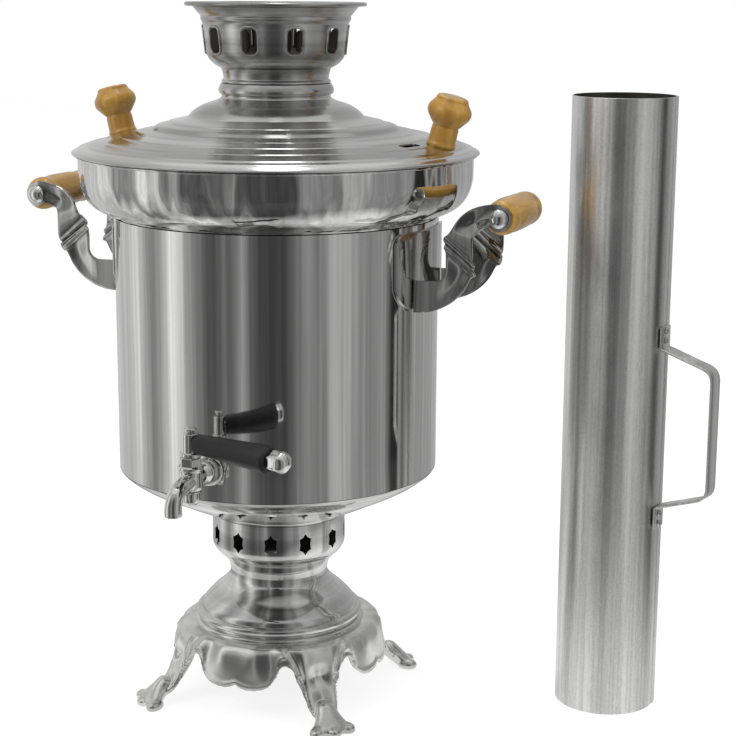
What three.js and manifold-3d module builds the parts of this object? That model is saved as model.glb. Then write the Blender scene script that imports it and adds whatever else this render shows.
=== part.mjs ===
// Charcoal samovar with its draught pipe standing beside it.
// Millimetres, +Z up, the floor at z = 0. The tap points to -Y, the handles lie on +X and -X.
// At the end the whole group is moved so that its bounding box is centred over the origin.
import * as THREE from "three";
import { mergeVertices } from "three/addons/utils/BufferGeometryUtils.js";
import Module from "manifold-3d";

const wasm = await Module();
wasm.setup();

const FULL_TURN = 2 * Math.PI;
const QUARTER_TURN = Math.PI / 2;
const radians = THREE.MathUtils.degToRad;

// Sizes shared by every piece
const gap = 0.3; // clearance between two pieces that touch
const boltGap = 0.4; // radial clearance of a shank in its hole
const overrun = 3; // how far a cutter passes what it cuts
const sheet = 1.2; // thickness of the spun sheet
const largeSteps = 36; // flats round the tank and the lid
const middleSteps = 30; // flats round the pedestal and the crown
const smallSteps = 16; // flats round a small turned piece

// Base: a cast skirt on four paws
const base = {
  height: 52,
  seatInner: 46,
  seatOuter: 66,
  shoulderRadius: 70,
  shoulderDrop: 3,
  waistRadius: 75,
  waistDrop: 9,
  skirtRadius: 79,
  wall: 4,
  notchHeight: 35,
  lobeDepth: 10,
  lobeNick: 2,
  kneeRise: 6,
  kneeReach: 3,
};
const apron = { lobeEdge: 22, lobeFull: 15, nickHalf: 4, steps: 64 }; // degrees from the middle of a side
const leg = { kneeRadius: 68, ankleRadius: 92, kneeWidth: 40, ankleWidth: 18, thickness: 9 };
const paw = { radius: 95, toeLength: 27, toeWidth: 12.5, toeHeight: 14, sideOffset: 8.2, sideSplay: 14 };
const baseScrew = { radius: 2, headRadius: 4, headHeight: 2.4, circle: 55, reach: 3 };

// Pedestal: bell, vent collar with star holes, rounded tank bottom
const bell = { height: 41, footRadius: 62.5, flange: 14, waistRadius: 35.6, bulgeRadius: 55.3 };
const collar = { height: 43.5, radius: 48.6, ledge: 8 };
const star = { count: 12, points: 6, halfWidth: 3.9, halfHeight: 8, innerShare: 0.6, fromTop: 14, firstAngle: 17 };
const dish = { height: 36.5 };

// Tank
const tank = { radius: 115, height: 181 };
const flue = { footRadius: 46.6, radius: 34, footHeight: 12, shoulderHeight: 92 };
const grate = { thickness: 4, slots: 5, slotWidth: 5, slotPitch: 12, rim: 7 };
const panFlare = 24; // how far the pan reaches past the tank's wall
const pan = { height: 42.7, radius: tank.radius + panFlare, lipProud: 1.4, lip: 1.4 };

// Lid, its knobs and the crown
const rimOverhang = 4.5; // how far the lid's rim reaches past the pan
const lid = {
  height: 48.7,
  rimRadius: pan.radius + rimOverhang,
  rimEdge: 2,
  rimFlat: 7,
  rimRise: 3,
  swell: 5,
  outerStepRadius: 87,
  outerStepHeight: 17,
  outerBead: 3.5,
  innerStepRadius: 62,
  innerStepHeight: 25.5,
  innerBead: 3,
  innerBeadRise: 4.5,
  collarRadius: 38.5,
  collarHeight: 8,
  collarFillet: 4.6,
  lipDepth: 5,
  lipInset: 2.6,
};
const knobInset = 21.5; // how far a knob's axis lies inside the lid's rim
const knob = { fromAxis: lid.rimRadius - knobInset, height: 35, headRadius: 15.3, neckRadius: 9.2, bead: 0.8, boreDepth: 16 };
const knobScrew = { radius: 2, headRadius: 4.2, headHeight: 2.4, washerRadius: 7, washer: 1 };
const crown = {
  height: 52.3,
  waistRadius: 36.7,
  bead: 1.6,
  spigot: 6,
  bodyRadius: 50,
  roll: 2,
  flareRadius: 57.5,
  plateRadius: 63.4,
  plate: 2.8,
  plateEase: 1,
  plateHole: 40,
};
const crownWindow = { count: 10, halfWidth: 5.2, halfHeight: 8.4, corner: 3.6, fromTop: 22.5, firstAngle: 3 };

// Tap
const tap = {
  height: 21.8, // its axis above the lower edge of the tank's wall
  reach: 26, // plug axis from the wall
  shankRadius: 5.6,
  bore: 3,
  barrelRadius: 8,
  barrelUp: 16,
  barrelDown: 7,
  barrelBevel: 2,
  plugRadius: 4.6,
  spoutReach: 26,
  spoutDrop: 18,
  spoutRadius: 5.8,
};
const rose = { radius: 11, thickness: 3, bevel: 2 };
const lockNut = { radius: 10, thickness: 4, gasketRadius: 9, gasket: 1.5, tail: 1.6 };
const stem = {
  hubRadius: 5.6,
  hub: 13,
  studRadius: 2.2,
  collarRadius: 7,
  collar: 2.4,
  tailRadius: 2.8,
  tailNutRadius: 5.6,
  tailNut: 8,
  washer: 1.2,
  washerProud: 1,
};
const lever = {
  start: 6,
  length: 70,
  startRadius: 5.9,
  endRadius: 8.6,
  ease: 1,
  angle: -17,
  ballRadius: 7.2,
  rodRadius: 2.4,
  rodDepth: 3,
};
const capNut = { radius: 4.4, height: 3.4 };

// Handles: reaches go out from the tank's wall, and levels go down from the wall's top edge
const handle = {
  gripReach: 60, // the grip's axis
  gripHeight: 9.3, // the grip's axis above the wall's top edge
  halfSpan: 34, // middle plane of an arm from the handle's middle
  armSheet: 2,
  eyeRadius: 10.3,
  bandWidth: 20.8,
  bandOuter: 42.5,
  pleatFoot: 31.2,
  pleatHeight: 10.5,
  pleatRise: 16,
  pleatTaper: 0.9,
  pleatTop: 6.2,
  rootLow: 58.2,
  rootHigh: 36.2,
  rootBendRadius: 41,
  rootInnerRadius: 8.3,
  joggle: 5,
  pleatProud: 1.5,
};
const grip = { radius: 12.2, endRadius: 9.8, waistShare: 0.88 };
const rod = { radius: 2.4, tail: 4 };
const domeNut = { radius: 6.6, height: 5.4 };
const plate = { thickness: 2, halfWidth: 46, bottom: 56.2, top: 4.2, topCorner: 8, bottomCorner: 18 };

// Draught pipe, standing beside the samovar
const pipeBeside = 117.8; // the pipe's axis beside the tank's wall, along X
const pipe = {
  radius: 36,
  wall: 0.8,
  length: 441,
  x: tank.radius + pipeBeside,
  y: 67.4,
  seamHalfWidth: 4,
  seamRise: 0.9,
  seamAngle: 6,
  steps: 48,
};
const strap = { width: 15, thickness: 1.6, angle: -12, low: 153, high: 267, standOff: 38.5, slope: 12, foot: 16, bend: 5 };
const rivet = { radius: 1.2, headRadius: 2.6, head: 1.3, spacing: 7 };

// Finishes
function finish(color, roughness, metalness) {
  return new THREE.MeshStandardMaterial({ color, roughness, metalness });
}
const polished = finish(0xc9c9c9, 0.12, 1);
const castMetal = finish(0xb9b9b6, 0.28, 1);
const galvanised = finish(0xa6a6a3, 0.42, 1);
const darkIron = finish(0x3a3836, 0.7, 0.8);
const wood = finish(0xc08a35, 0.32, 0);
const blackPlastic = finish(0x232323, 0.5, 0);
const rubber = finish(0x2b2a29, 0.8, 0);

const samovar = new THREE.Group();

function add(name, geometry, material) {
  const mesh = new THREE.Mesh(geometry, material);
  mesh.name = name;
  samovar.add(mesh);
  return mesh;
}

// Geometry helpers

function signedVolume(geometry) {
  const flat = geometry.index ? geometry.toNonIndexed() : geometry;
  const position = flat.getAttribute("position");
  const corners = [new THREE.Vector3(), new THREE.Vector3(), new THREE.Vector3()];
  let volume = 0;
  for (let i = 0; i < position.count; i += 3) {
    corners.forEach((corner, k) => corner.fromBufferAttribute(position, i + k));
    volume += corners[0].dot(corners[1].clone().cross(corners[2])) / 6;
  }
  return volume;
}

function facingOut(geometry) {
  if (signedVolume(geometry) >= 0) return geometry;
  const index = geometry.index;
  for (let i = 0; i < index.count; i += 3) {
    const second = index.getX(i + 1);
    index.setX(i + 1, index.getX(i + 2));
    index.setX(i + 2, second);
  }
  return geometry;
}

// Shared corners, no triangle without an area, faces pointing out
function merged(geometry) {
  const bare = geometry.clone();
  bare.deleteAttribute("normal");
  bare.deleteAttribute("uv");
  const welded = mergeVertices(bare, 1e-3);
  const faces = [];
  for (let i = 0; i < welded.index.count; i += 3) {
    const [a, b, c] = [0, 1, 2].map((k) => welded.index.getX(i + k));
    if (a !== b && b !== c && c !== a) faces.push(a, b, c);
  }
  welded.setIndex(faces);
  return facingOut(welded);
}

function toSolid(geometry) {
  const clean = merged(geometry);
  const mesh = new wasm.Mesh({
    numProp: 3,
    vertProperties: clean.getAttribute("position").array,
    triVerts: new Uint32Array(clean.index.array),
  });
  return new wasm.Manifold(mesh);
}

function toGeometry(solid) {
  const mesh = solid.getMesh();
  const geometry = new THREE.BufferGeometry();
  geometry.setAttribute("position", new THREE.BufferAttribute(mesh.vertProperties, 3));
  geometry.setIndex(new THREE.BufferAttribute(mesh.triVerts, 1));
  geometry.computeVertexNormals();
  return geometry;
}

function cut(geometry, cutters) {
  return toGeometry(cutters.reduce((left, cutter) => left.subtract(toSolid(cutter)), toSolid(geometry)));
}

function join(pieces) {
  return toGeometry(pieces.map(toSolid).reduce((whole, piece) => whole.add(piece)));
}

// A closed outline of [radius, height] points turned about +Z
function turned(outline, steps = smallSteps) {
  const points = outline.map(([r, z]) => new THREE.Vector2(r, z));
  const onAxis = points[0].x === 0 && points.at(-1).x === 0;
  if (!onAxis) points.push(points[0].clone());
  return merged(new THREE.LatheGeometry(points, steps).rotateX(QUARTER_TURN));
}

// The outline moved towards the axis by the sheet's thickness, with mitred corners
function offsetInwards(outline, thickness) {
  const normals = outline.slice(1).map(([r, z], i) => {
    const along = new THREE.Vector2(r - outline[i][0], z - outline[i][1]).normalize();
    return new THREE.Vector2(-along.y, along.x);
  });
  return outline.map(([r, z], i) => {
    const before = normals[Math.max(i - 1, 0)];
    const after = normals[Math.min(i, normals.length - 1)];
    const miter = before.clone().add(after).normalize();
    const length = thickness / Math.max(miter.dot(after), 0.6);
    return [r + miter.x * length, z + miter.y * length];
  });
}

// A sheet shell whose outer face runs up the outline; its two edges are cut level
function spunShell(outline, steps = largeSteps) {
  const inner = offsetInwards(outline, sheet);
  inner[0][1] = outline[0][1];
  inner.at(-1)[1] = outline.at(-1)[1];
  return turned([...outline, ...inner.reverse()], steps);
}

function cylinder(radius, from, to, steps = smallSteps) {
  const length = to - from;
  return new THREE.CylinderGeometry(radius, radius, length, steps)
    .rotateX(QUARTER_TURN)
    .translate(0, 0, from + length / 2);
}

function ring(inner, outer, from, to, steps = smallSteps) {
  return turned([[inner, from], [outer, from], [outer, to], [inner, to]], steps);
}

// A flat shape extruded along +Z and centred on z = 0
function slab(points, depth) {
  const shape = new THREE.Shape(points.map(([x, y]) => new THREE.Vector2(x, y)));
  return new THREE.ExtrudeGeometry(shape, { depth, bevelEnabled: false }).translate(0, 0, -depth / 2);
}

// A rounded rectangle with its own radius at the top and at the bottom corners
function roundedBox(halfWidth, bottom, top, bottomCorner, topCorner, steps = 4) {
  const corners = [
    [halfWidth - bottomCorner, bottom + bottomCorner, bottomCorner, -QUARTER_TURN],
    [halfWidth - topCorner, top - topCorner, topCorner, 0],
    [topCorner - halfWidth, top - topCorner, topCorner, QUARTER_TURN],
    [bottomCorner - halfWidth, bottom + bottomCorner, bottomCorner, Math.PI],
  ];
  return corners.flatMap(([x, y, radius, start]) =>
    Array.from({ length: steps + 1 }, (_, i) => {
      const angle = start + (QUARTER_TURN * i) / steps;
      return [x + radius * Math.cos(angle), y + radius * Math.sin(angle)];
    }),
  );
}

// A shape drawn as (across, up), cut radially outwards from the axis at an angle from -Y towards +X
function radialCutter(points, height, reach, angle) {
  return slab(points, reach)
    .rotateX(QUARTER_TURN)
    .translate(0, -reach / 2, height)
    .rotateZ(angle);
}

function linesOf(start, control, end, steps) {
  const curve = new THREE.QuadraticBezierCurve(...[start, control, end].map(([x, y]) => new THREE.Vector2(x, y)));
  return curve.getPoints(steps).map((point) => [point.x, point.y]);
}

function arcPoints([x, y], radius, fromAngle, toAngle, steps) {
  return Array.from({ length: steps + 1 }, (_, i) => {
    const angle = radians(fromAngle + ((toAngle - fromAngle) * i) / steps);
    return [x + radius * Math.cos(angle), y + radius * Math.sin(angle)];
  });
}

// Levels of the stack, each from the piece below it
const seatZ = base.height;
const bellZ = seatZ + gap;
const collarZ = bellZ + bell.height + gap;
const dishZ = collarZ + collar.height + gap;
const wallZ = dishZ + dish.height + gap;
const wallTop = wallZ + tank.height;
const tapZ = wallZ + tap.height;
const panZ = wallTop + gap;
const lidZ = panZ + pan.height + gap;
const lidTop = lidZ + lid.height;
const crownZ = lidTop - crown.spigot;
const plateZ = crownZ + crown.spigot + crown.height + gap;

// Base casting

function smooth(edge, full, value) {
  return THREE.MathUtils.smoothstep(edge - value, 0, edge - full);
}

// Height of the apron's lower edge, at an angle in degrees from the middle of a side
function apronEdge(fromMiddle) {
  const lobes = smooth(apron.lobeEdge, apron.lobeFull, fromMiddle);
  const nick = Math.max(0, 1 - fromMiddle / apron.nickHalf);
  return base.notchHeight - base.lobeDepth * lobes + base.lobeNick * nick;
}

function skirtShell() {
  const columns = Array.from({ length: apron.steps }, (_, i) => {
    const angle = (FULL_TURN * i) / apron.steps;
    const knee = Math.abs(Math.sin(2 * angle)) ** 6;
    const quarter = THREE.MathUtils.euclideanModulo(THREE.MathUtils.radToDeg(angle) + 45, 90) - 45;
    const edge = apronEdge(Math.abs(quarter));
    const reach = knee * base.kneeReach;
    const rise = knee * base.kneeRise;
    const seatUnder = seatZ - base.wall;
    const profile = [
      [base.seatInner, seatUnder],
      [base.seatInner, seatZ],
      [base.seatOuter, seatZ],
      [base.shoulderRadius + reach, seatZ - base.shoulderDrop + rise],
      [base.waistRadius + reach, seatZ - base.waistDrop],
      [base.skirtRadius + reach, edge],
      [base.skirtRadius + reach - base.wall, edge],
      [base.waistRadius + reach - base.wall, seatUnder - base.wall],
      [base.shoulderRadius - base.wall, seatUnder],
    ];
    return profile.map(([r, z]) => [r * Math.cos(angle), r * Math.sin(angle), z]);
  });
  return loftedRing(columns);
}

// Closed columns of points joined round a full turn
function loftedRing(columns) {
  const perColumn = columns[0].length;
  const geometry = new THREE.BufferGeometry();
  geometry.setAttribute("position", new THREE.Float32BufferAttribute(columns.flat(2), 3));
  const faces = [];
  columns.forEach((_, i) => {
    const here = i * perColumn;
    const next = ((i + 1) % columns.length) * perColumn;
    for (let k = 0; k < perColumn; k++) {
      const up = (k + 1) % perColumn;
      faces.push(here + k, next + k, next + up, here + k, next + up, here + up);
    }
  });
  geometry.setIndex(faces);
  return facingOut(geometry);
}

// A solid through a list of sections with equally many points, closed at both ends
function loft(sections) {
  const count = sections[0].length;
  const geometry = new THREE.BufferGeometry();
  geometry.setAttribute("position", new THREE.Float32BufferAttribute(sections.flat(2), 3));
  const faces = [];
  for (let s = 0; s + 1 < sections.length; s++) {
    for (let k = 0; k < count; k++) {
      const a = s * count + k;
      const b = s * count + ((k + 1) % count);
      faces.push(a, b, b + count, a, b + count, a + count);
    }
  }
  const last = (sections.length - 1) * count;
  for (let k = 1; k + 1 < count; k++) {
    faces.push(0, k + 1, k, last, last + k, last + k + 1);
  }
  geometry.setIndex(faces);
  return facingOut(geometry);
}

// One leg and its paw, made on the +X axis: a wide knee that narrows to the ankle, then three toes
function legAndPaw() {
  const kneeTop = seatZ - base.shoulderDrop + base.kneeRise;
  const ankle = [leg.ankleRadius, paw.toeHeight / 2];
  const path = linesOf(
    [leg.kneeRadius, kneeTop - leg.thickness / 2],
    [base.skirtRadius + base.kneeReach, 2 * paw.toeHeight],
    ankle,
    6,
  );
  const sides = 8;
  const sections = path.map(([r, z], i) => {
    const share = i / (path.length - 1);
    const narrowing = (leg.kneeWidth - leg.ankleWidth) * (1 - share) ** 1.6;
    const width = leg.ankleWidth + narrowing;
    return Array.from({ length: sides }, (_, k) => {
      const angle = (FULL_TURN * (k + 0.5)) / sides;
      return [r + (leg.thickness / 2) * Math.cos(angle), (width / 2) * Math.sin(angle), z];
    });
  });
  const toes = [-1, 0, 1].map((side) =>
    new THREE.SphereGeometry(1, 8, 6)
      .rotateX(QUARTER_TURN)
      .scale(paw.toeLength / 2, paw.toeWidth / 2, paw.toeHeight / 2)
      .rotateZ(radians(side * paw.sideSplay))
      .translate(paw.radius - Math.abs(side) * base.wall / 2, side * paw.sideOffset, paw.toeHeight / 3),
  );
  return [loft(sections), ...toes];
}

function baseCasting() {
  const pieces = [skirtShell()];
  for (let k = 0; k < 4; k++) {
    const angle = QUARTER_TURN * (k + 0.5);
    pieces.push(...legAndPaw().map((piece) => piece.rotateZ(angle)));
  }
  const ground = new THREE.BoxGeometry(4 * base.skirtRadius, 4 * base.skirtRadius, paw.toeHeight)
    .translate(0, 0, -paw.toeHeight / 2);
  const under = ring(base.seatInner, base.seatOuter - base.wall, -overrun, seatZ - base.wall, largeSteps);
  const holes = screwPlaces().map(([x, y]) =>
    cylinder(baseScrew.radius + boltGap, seatZ - base.wall - overrun, seatZ + overrun, 12).translate(x, y, 0),
  );
  return cut(join(pieces), [ground, under, ...holes]);
}

function screwPlaces() {
  return [0, 1, 2, 3].map((k) => {
    const angle = QUARTER_TURN * k;
    return [baseScrew.circle * Math.cos(angle), baseScrew.circle * Math.sin(angle)];
  });
}

add("base_casting", baseCasting(), castMetal);

screwPlaces().forEach(([x, y], i) => {
  const headTop = seatZ - base.wall - gap;
  const outline = [
    [0, headTop - baseScrew.headHeight],
    [baseScrew.headRadius, headTop - baseScrew.headHeight],
    [baseScrew.headRadius, headTop],
    [baseScrew.radius, headTop],
    [baseScrew.radius, bellZ + baseScrew.reach],
    [0, bellZ + baseScrew.reach],
  ];
  add(`base_screw_${i + 1}`, turned(outline, 12).translate(x, y, 0), castMetal);
});

// Pedestal bell: flange, stepped foot, bell, narrow neck

// Shares of the way out from waist to bulge and up the bell
const bellShares = [
  [1, 0.38],
  [0.878, 0.48],
  [0.675, 0.585],
  [0.388, 0.695],
  [0.152, 0.805],
  [0.02, 0.9],
  [0, 1],
];

function pedestalBell() {
  const foot = bell.footRadius;
  const swell = bell.bulgeRadius - bell.waistRadius;
  const outline = [
    [foot - bell.flange, bellZ],
    [foot, bellZ],
    [foot, bellZ + 3.2 * sheet],
    [foot - 2.5 * sheet, bellZ + 4.4 * sheet],
    [foot - 2.5 * sheet, bellZ + 5.6 * sheet],
    [foot - 1.3 * sheet, bellZ + 6.6 * sheet],
    [foot - 1.3 * sheet, bellZ + 8.8 * sheet],
    [bell.bulgeRadius + sheet, bellZ + 10.6 * sheet],
    ...bellShares.map(([out, up]) => [bell.waistRadius + out * swell, bellZ + up * bell.height]),
  ];
  const shell = spunShell(outline, middleSteps);
  const holes = screwPlaces().map(([x, y]) =>
    cylinder(baseScrew.radius + boltGap, bellZ - overrun, bellZ + sheet + overrun, 12).translate(x, y, 0),
  );
  return cut(shell, holes);
}
add("pedestal_bell", pedestalBell(), polished);

// Vent collar with star holes and an inner ledge that carries the grate

function starPoints() {
  const count = 2 * star.points;
  return Array.from({ length: count }, (_, i) => {
    const angle = QUARTER_TURN + (FULL_TURN * i) / count;
    const share = i % 2 === 0 ? 1 : star.innerShare;
    return [star.halfWidth * share * Math.cos(angle) * 1.155, star.halfHeight * share * Math.sin(angle)];
  });
}

function ventCollar() {
  const top = collarZ + collar.height;
  const neck = bell.waistRadius;
  const spread = collar.radius - neck;
  const outline = [
    [neck, collarZ],
    [neck + 0.12 * spread, collarZ + 0.14 * collar.height],
    [neck + 0.4 * spread, collarZ + 0.25 * collar.height],
    [neck + 0.79 * spread, collarZ + 0.35 * collar.height],
    [collar.radius, collarZ + 0.46 * collar.height],
    [collar.radius, top],
    [collar.radius - collar.ledge, top],
    [collar.radius - collar.ledge, top - sheet],
    [collar.radius - sheet, top - sheet],
    [collar.radius - sheet, collarZ + 0.46 * collar.height],
    [neck + 0.79 * spread - sheet, collarZ + 0.35 * collar.height + 0.4 * sheet],
    [neck + 0.4 * spread - sheet, collarZ + 0.25 * collar.height + 0.4 * sheet],
    [neck + 0.12 * spread - sheet, collarZ + 0.14 * collar.height],
    [neck - sheet, collarZ],
  ];
  const holes = Array.from({ length: star.count / 2 }, (_, i) => {
    const angle = radians(star.firstAngle) + (FULL_TURN * i) / star.count;
    return radialCutter(starPoints(), top - star.fromTop, 4 * collar.radius, angle).translate(
      -2 * collar.radius * Math.sin(angle),
      2 * collar.radius * Math.cos(angle),
      0,
    );
  });
  return cut(turned(outline, middleSteps), holes);
}
add("vent_collar", ventCollar(), polished);

// Tank: rounded bottom, wall, flared pan

// Shares of the way out to the wall and up the dish
const dishShares = [
  [0, 0],
  [0, 0.05],
  [0.03, 0.08],
  [0.14, 0.14],
  [0.29, 0.25],
  [0.47, 0.41],
  [0.7, 0.61],
  [0.83, 0.74],
  [0.925, 0.86],
  [0.985, 0.95],
  [1, 1],
];

function tankDish() {
  const span = tank.radius - collar.radius;
  return spunShell(dishShares.map(([out, up]) => [collar.radius + out * span, dishZ + up * dish.height]));
}
add("tank_dish", tankDish(), polished);

function tankWall() {
  const wall = ring(tank.radius - sheet, tank.radius, wallZ, wallZ + tank.height, largeSteps);
  const hole = cylinder(tap.shankRadius + boltGap, tank.radius - 6 * sheet, tank.radius + overrun)
    .rotateX(QUARTER_TURN)
    .translate(0, 0, tapZ);
  return cut(wall, [hole]);
}
add("tank_wall", tankWall(), polished);

function rimPan() {
  const bottom = panZ;
  const rise = pan.height;
  const flare = pan.radius - tank.radius;
  const outline = [
    [tank.radius, bottom],
    [tank.radius + 0.1 * flare, bottom + 0.04 * rise],
    [tank.radius + 0.38 * flare, bottom + 0.1 * rise],
    [tank.radius + 0.65 * flare, bottom + 0.19 * rise],
    [tank.radius + 0.83 * flare, bottom + 0.32 * rise],
    [tank.radius + 0.94 * flare, bottom + 0.47 * rise],
    [pan.radius, bottom + 0.64 * rise],
    [pan.radius, bottom + rise - pan.lip],
    [pan.radius + pan.lipProud, bottom + rise - pan.lip],
    [pan.radius + pan.lipProud, bottom + rise],
  ];
  const inner = offsetInwards(outline.slice(0, 7), sheet);
  inner[0] = [tank.radius - sheet, bottom];
  return turned([...outline, [pan.radius - sheet, bottom + rise], ...inner.reverse()], largeSteps);
}
add("rim_pan", rimPan(), polished);

// Fire tube and grate

const flueTop = crownZ - gap;

function flueTube() {
  const outline = [
    [flue.footRadius, dishZ],
    [flue.footRadius, dishZ + flue.footHeight],
    [flue.radius, dishZ + flue.shoulderHeight],
    [flue.radius, flueTop],
  ];
  return spunShell(outline, middleSteps);
}
add("flue_tube", flueTube(), galvanised);

function fireGrate() {
  const radius = flue.footRadius - sheet - gap - boltGap;
  const disc = cylinder(radius, dishZ, dishZ + grate.thickness, smallSteps);
  const slots = Array.from({ length: grate.slots }, (_, i) => {
    const x = (i - (grate.slots - 1) / 2) * grate.slotPitch;
    const half = Math.sqrt((radius - grate.rim) ** 2 - x ** 2);
    return new THREE.BoxGeometry(grate.slotWidth, 2 * half, grate.thickness + 2 * overrun)
      .translate(x, 0, dishZ + grate.thickness / 2);
  });
  return cut(disc, slots);
}
add("fire_grate", fireGrate(), darkIron);

// Lid

const lidOutline = [
  [lid.rimRadius - 0.6 * lid.rimEdge, lidZ],
  [lid.rimRadius, lidZ + 0.5 * lid.rimEdge],
  [lid.rimRadius - 0.5 * lid.rimEdge, lidZ + lid.rimEdge],
  [lid.rimRadius - lid.rimFlat, lidZ + lid.rimEdge + lid.rimRise],
  [0.6 * lid.outerStepRadius + 0.4 * knob.fromAxis + lid.swell, lidZ + 0.76 * lid.outerStepHeight],
  [lid.outerStepRadius, lidZ + lid.outerStepHeight],
  [lid.outerStepRadius - lid.outerBead, lidZ + lid.outerStepHeight + 0.86 * lid.outerBead],
  [lid.innerStepRadius + 0.45 * (lid.outerStepRadius - lid.innerStepRadius), lidZ + lid.innerStepHeight - lid.innerBead],
  [lid.innerStepRadius, lidZ + lid.innerStepHeight],
  [lid.innerStepRadius - lid.innerBead, lidZ + lid.innerStepHeight + lid.innerBeadRise],
  [0.6 * lid.innerStepRadius + 0.4 * lid.collarRadius, lidTop - lid.collarHeight - lid.collarFillet],
  [lid.collarRadius + 0.65 * lid.collarFillet, lidTop - lid.collarHeight - 0.13 * lid.collarFillet],
  [lid.collarRadius, lidTop - 0.7 * lid.collarHeight],
  [lid.collarRadius, lidTop],
];

// Place of a knob's base on the lid and the lean of the surface there
const [lowPoint, highPoint] = [lidOutline[3], lidOutline[4]];
const knobLean = Math.atan2(highPoint[1] - lowPoint[1], lowPoint[0] - highPoint[0]);
const knobBase = [knob.fromAxis, lowPoint[1] + (lowPoint[0] - knob.fromAxis) * Math.tan(knobLean)];

// A piece made on +Z from z = 0 is set on the lid at a knob's place
function onLid(geometry, side) {
  return geometry
    .rotateY(knobLean)
    .translate(knobBase[0], 0, knobBase[1])
    .rotateZ(side < 0 ? Math.PI : 0);
}

function lidShell() {
  const lipOuter = pan.radius - lid.lipInset;
  const lipInner = lipOuter - sheet;
  const lipTop = lowPoint[1] + (lowPoint[0] - lipInner) * Math.tan(knobLean) - sheet / Math.cos(knobLean);
  const inner = offsetInwards(lidOutline.slice(3), sheet);
  inner.at(-1)[1] = lidTop;
  const lip = [
    [lipInner, lipTop],
    [lipInner, lidZ - lid.lipDepth],
    [lipOuter, lidZ - lid.lipDepth],
    [lipOuter, lidZ],
  ];
  const shell = turned([...lidOutline, ...inner.slice(1).reverse(), ...lip], largeSteps);
  const holes = [-1, 1].map((side) =>
    onLid(cylinder(knobScrew.radius + boltGap, -4 * sheet, overrun, 12), side),
  );
  return cut(shell, holes);
}
add("lid_shell", lidShell(), polished);

function knobBody() {
  const neck = knob.neckRadius;
  const head = knob.headRadius;
  const bore = knobScrew.radius + boltGap;
  const outline = [
    [bore, 0],
    [neck + 0.75 * knob.bead, 0],
    [neck + 0.75 * knob.bead, 0.05 * knob.height],
    [neck, 0.12 * knob.height],
    [neck, 0.26 * knob.height],
    [neck + knob.bead, 0.4 * knob.height],
    [neck + 1.75 * knob.bead, 0.45 * knob.height],
    [head - 0.75 * knob.bead, 0.62 * knob.height],
    [head, 0.7 * knob.height],
    [head - 0.6 * knob.bead, 0.78 * knob.height],
    [0.66 * head, 0.96 * knob.height],
    [0.56 * head, knob.height],
    [0, knob.height],
    [0, knob.boreDepth],
    [bore, knob.boreDepth],
  ];
  return turned(outline);
}

for (const side of [-1, 1]) {
  const name = side < 0 ? "left" : "right";
  add(`lid_knob_${name}`, onLid(knobBody().translate(0, 0, gap), side), wood);
  const washerTop = -sheet - gap;
  const washer = ring(knobScrew.radius + boltGap, knobScrew.washerRadius, washerTop - knobScrew.washer, washerTop, 16);
  add(`lid_knob_washer_${name}`, onLid(washer, side), castMetal);
  const headTop = washerTop - knobScrew.washer - gap;
  const screw = [
    [0, headTop - knobScrew.headHeight],
    [knobScrew.headRadius, headTop - knobScrew.headHeight],
    [knobScrew.headRadius, headTop],
    [knobScrew.radius, headTop],
    [knobScrew.radius, knob.boreDepth - boltGap],
    [0, knob.boreDepth - boltGap],
  ];
  add(`lid_knob_screw_${name}`, onLid(turned(screw, 12), side), castMetal);
}

// Crown

function crownBody() {
  const low = crownZ;
  const top = plateZ - gap;
  const waist = crown.waistRadius;
  const wide = crown.bodyRadius;
  const outline = [
    [waist, low],
    [waist, lidTop + gap],
    [waist + crown.bead, lidTop + gap],
    [waist + crown.bead, lidTop + gap + crown.bead],
    [waist, lidTop + gap + 2 * crown.bead],
    [waist, lidTop + 0.09 * crown.height],
    [waist + 0.13 * (wide - waist), lidTop + 0.155 * crown.height],
    [waist + 0.38 * (wide - waist), lidTop + 0.235 * crown.height],
    [waist + 0.74 * (wide - waist), lidTop + 0.31 * crown.height],
    [wide - 0.7 * crown.roll, lidTop + 0.39 * crown.height],
    [wide + 0.45 * crown.roll, lidTop + 0.79 * crown.height],
    [wide + 1.3 * crown.roll, lidTop + 0.84 * crown.height],
    [wide + crown.roll, lidTop + 0.875 * crown.height],
    [wide + 2.1 * crown.roll, lidTop + 0.92 * crown.height],
    [crown.flareRadius, top],
  ];
  const inner = offsetInwards(outline.slice(5), sheet);
  inner.at(-1)[1] = top;
  const loop = [...outline, ...inner.reverse(), [waist - sheet, low]];
  const windowPoints = roundedBox(
    crownWindow.halfWidth,
    -crownWindow.halfHeight,
    crownWindow.halfHeight,
    crownWindow.corner,
    crownWindow.corner,
    2,
  );
  const holes = Array.from({ length: crownWindow.count / 2 }, (_, i) => {
    const angle = radians(crownWindow.firstAngle) + (FULL_TURN * i) / crownWindow.count;
    return radialCutter(windowPoints, top - crownWindow.fromTop, 4 * wide, angle).translate(
      -2 * wide * Math.sin(angle),
      2 * wide * Math.cos(angle),
      0,
    );
  });
  return cut(turned(loop, middleSteps), holes);
}
add("crown_body", crownBody(), polished);

function crownPlate() {
  const edge = crown.plateRadius;
  const top = plateZ + crown.plate;
  return turned(
    [
      [crown.plateHole, plateZ],
      [edge - crown.plateEase, plateZ],
      [edge, plateZ + 0.3 * crown.plate],
      [edge, top - 0.3 * crown.plate],
      [edge - 0.8 * crown.plateEase, top],
      [crown.plateHole, top],
    ],
    middleSteps,
  );
}
add("crown_plate", crownPlate(), polished);

// Tap. Each piece is made on its own axis and then set on the wall.

const wallFace = -tank.radius;
const plugY = wallFace - tap.reach;

// A piece turned about +Z that should point along -Y at the tap's height
function alongTap(geometry) {
  return geometry.rotateX(QUARTER_TURN).translate(0, 0, tapZ);
}

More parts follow.
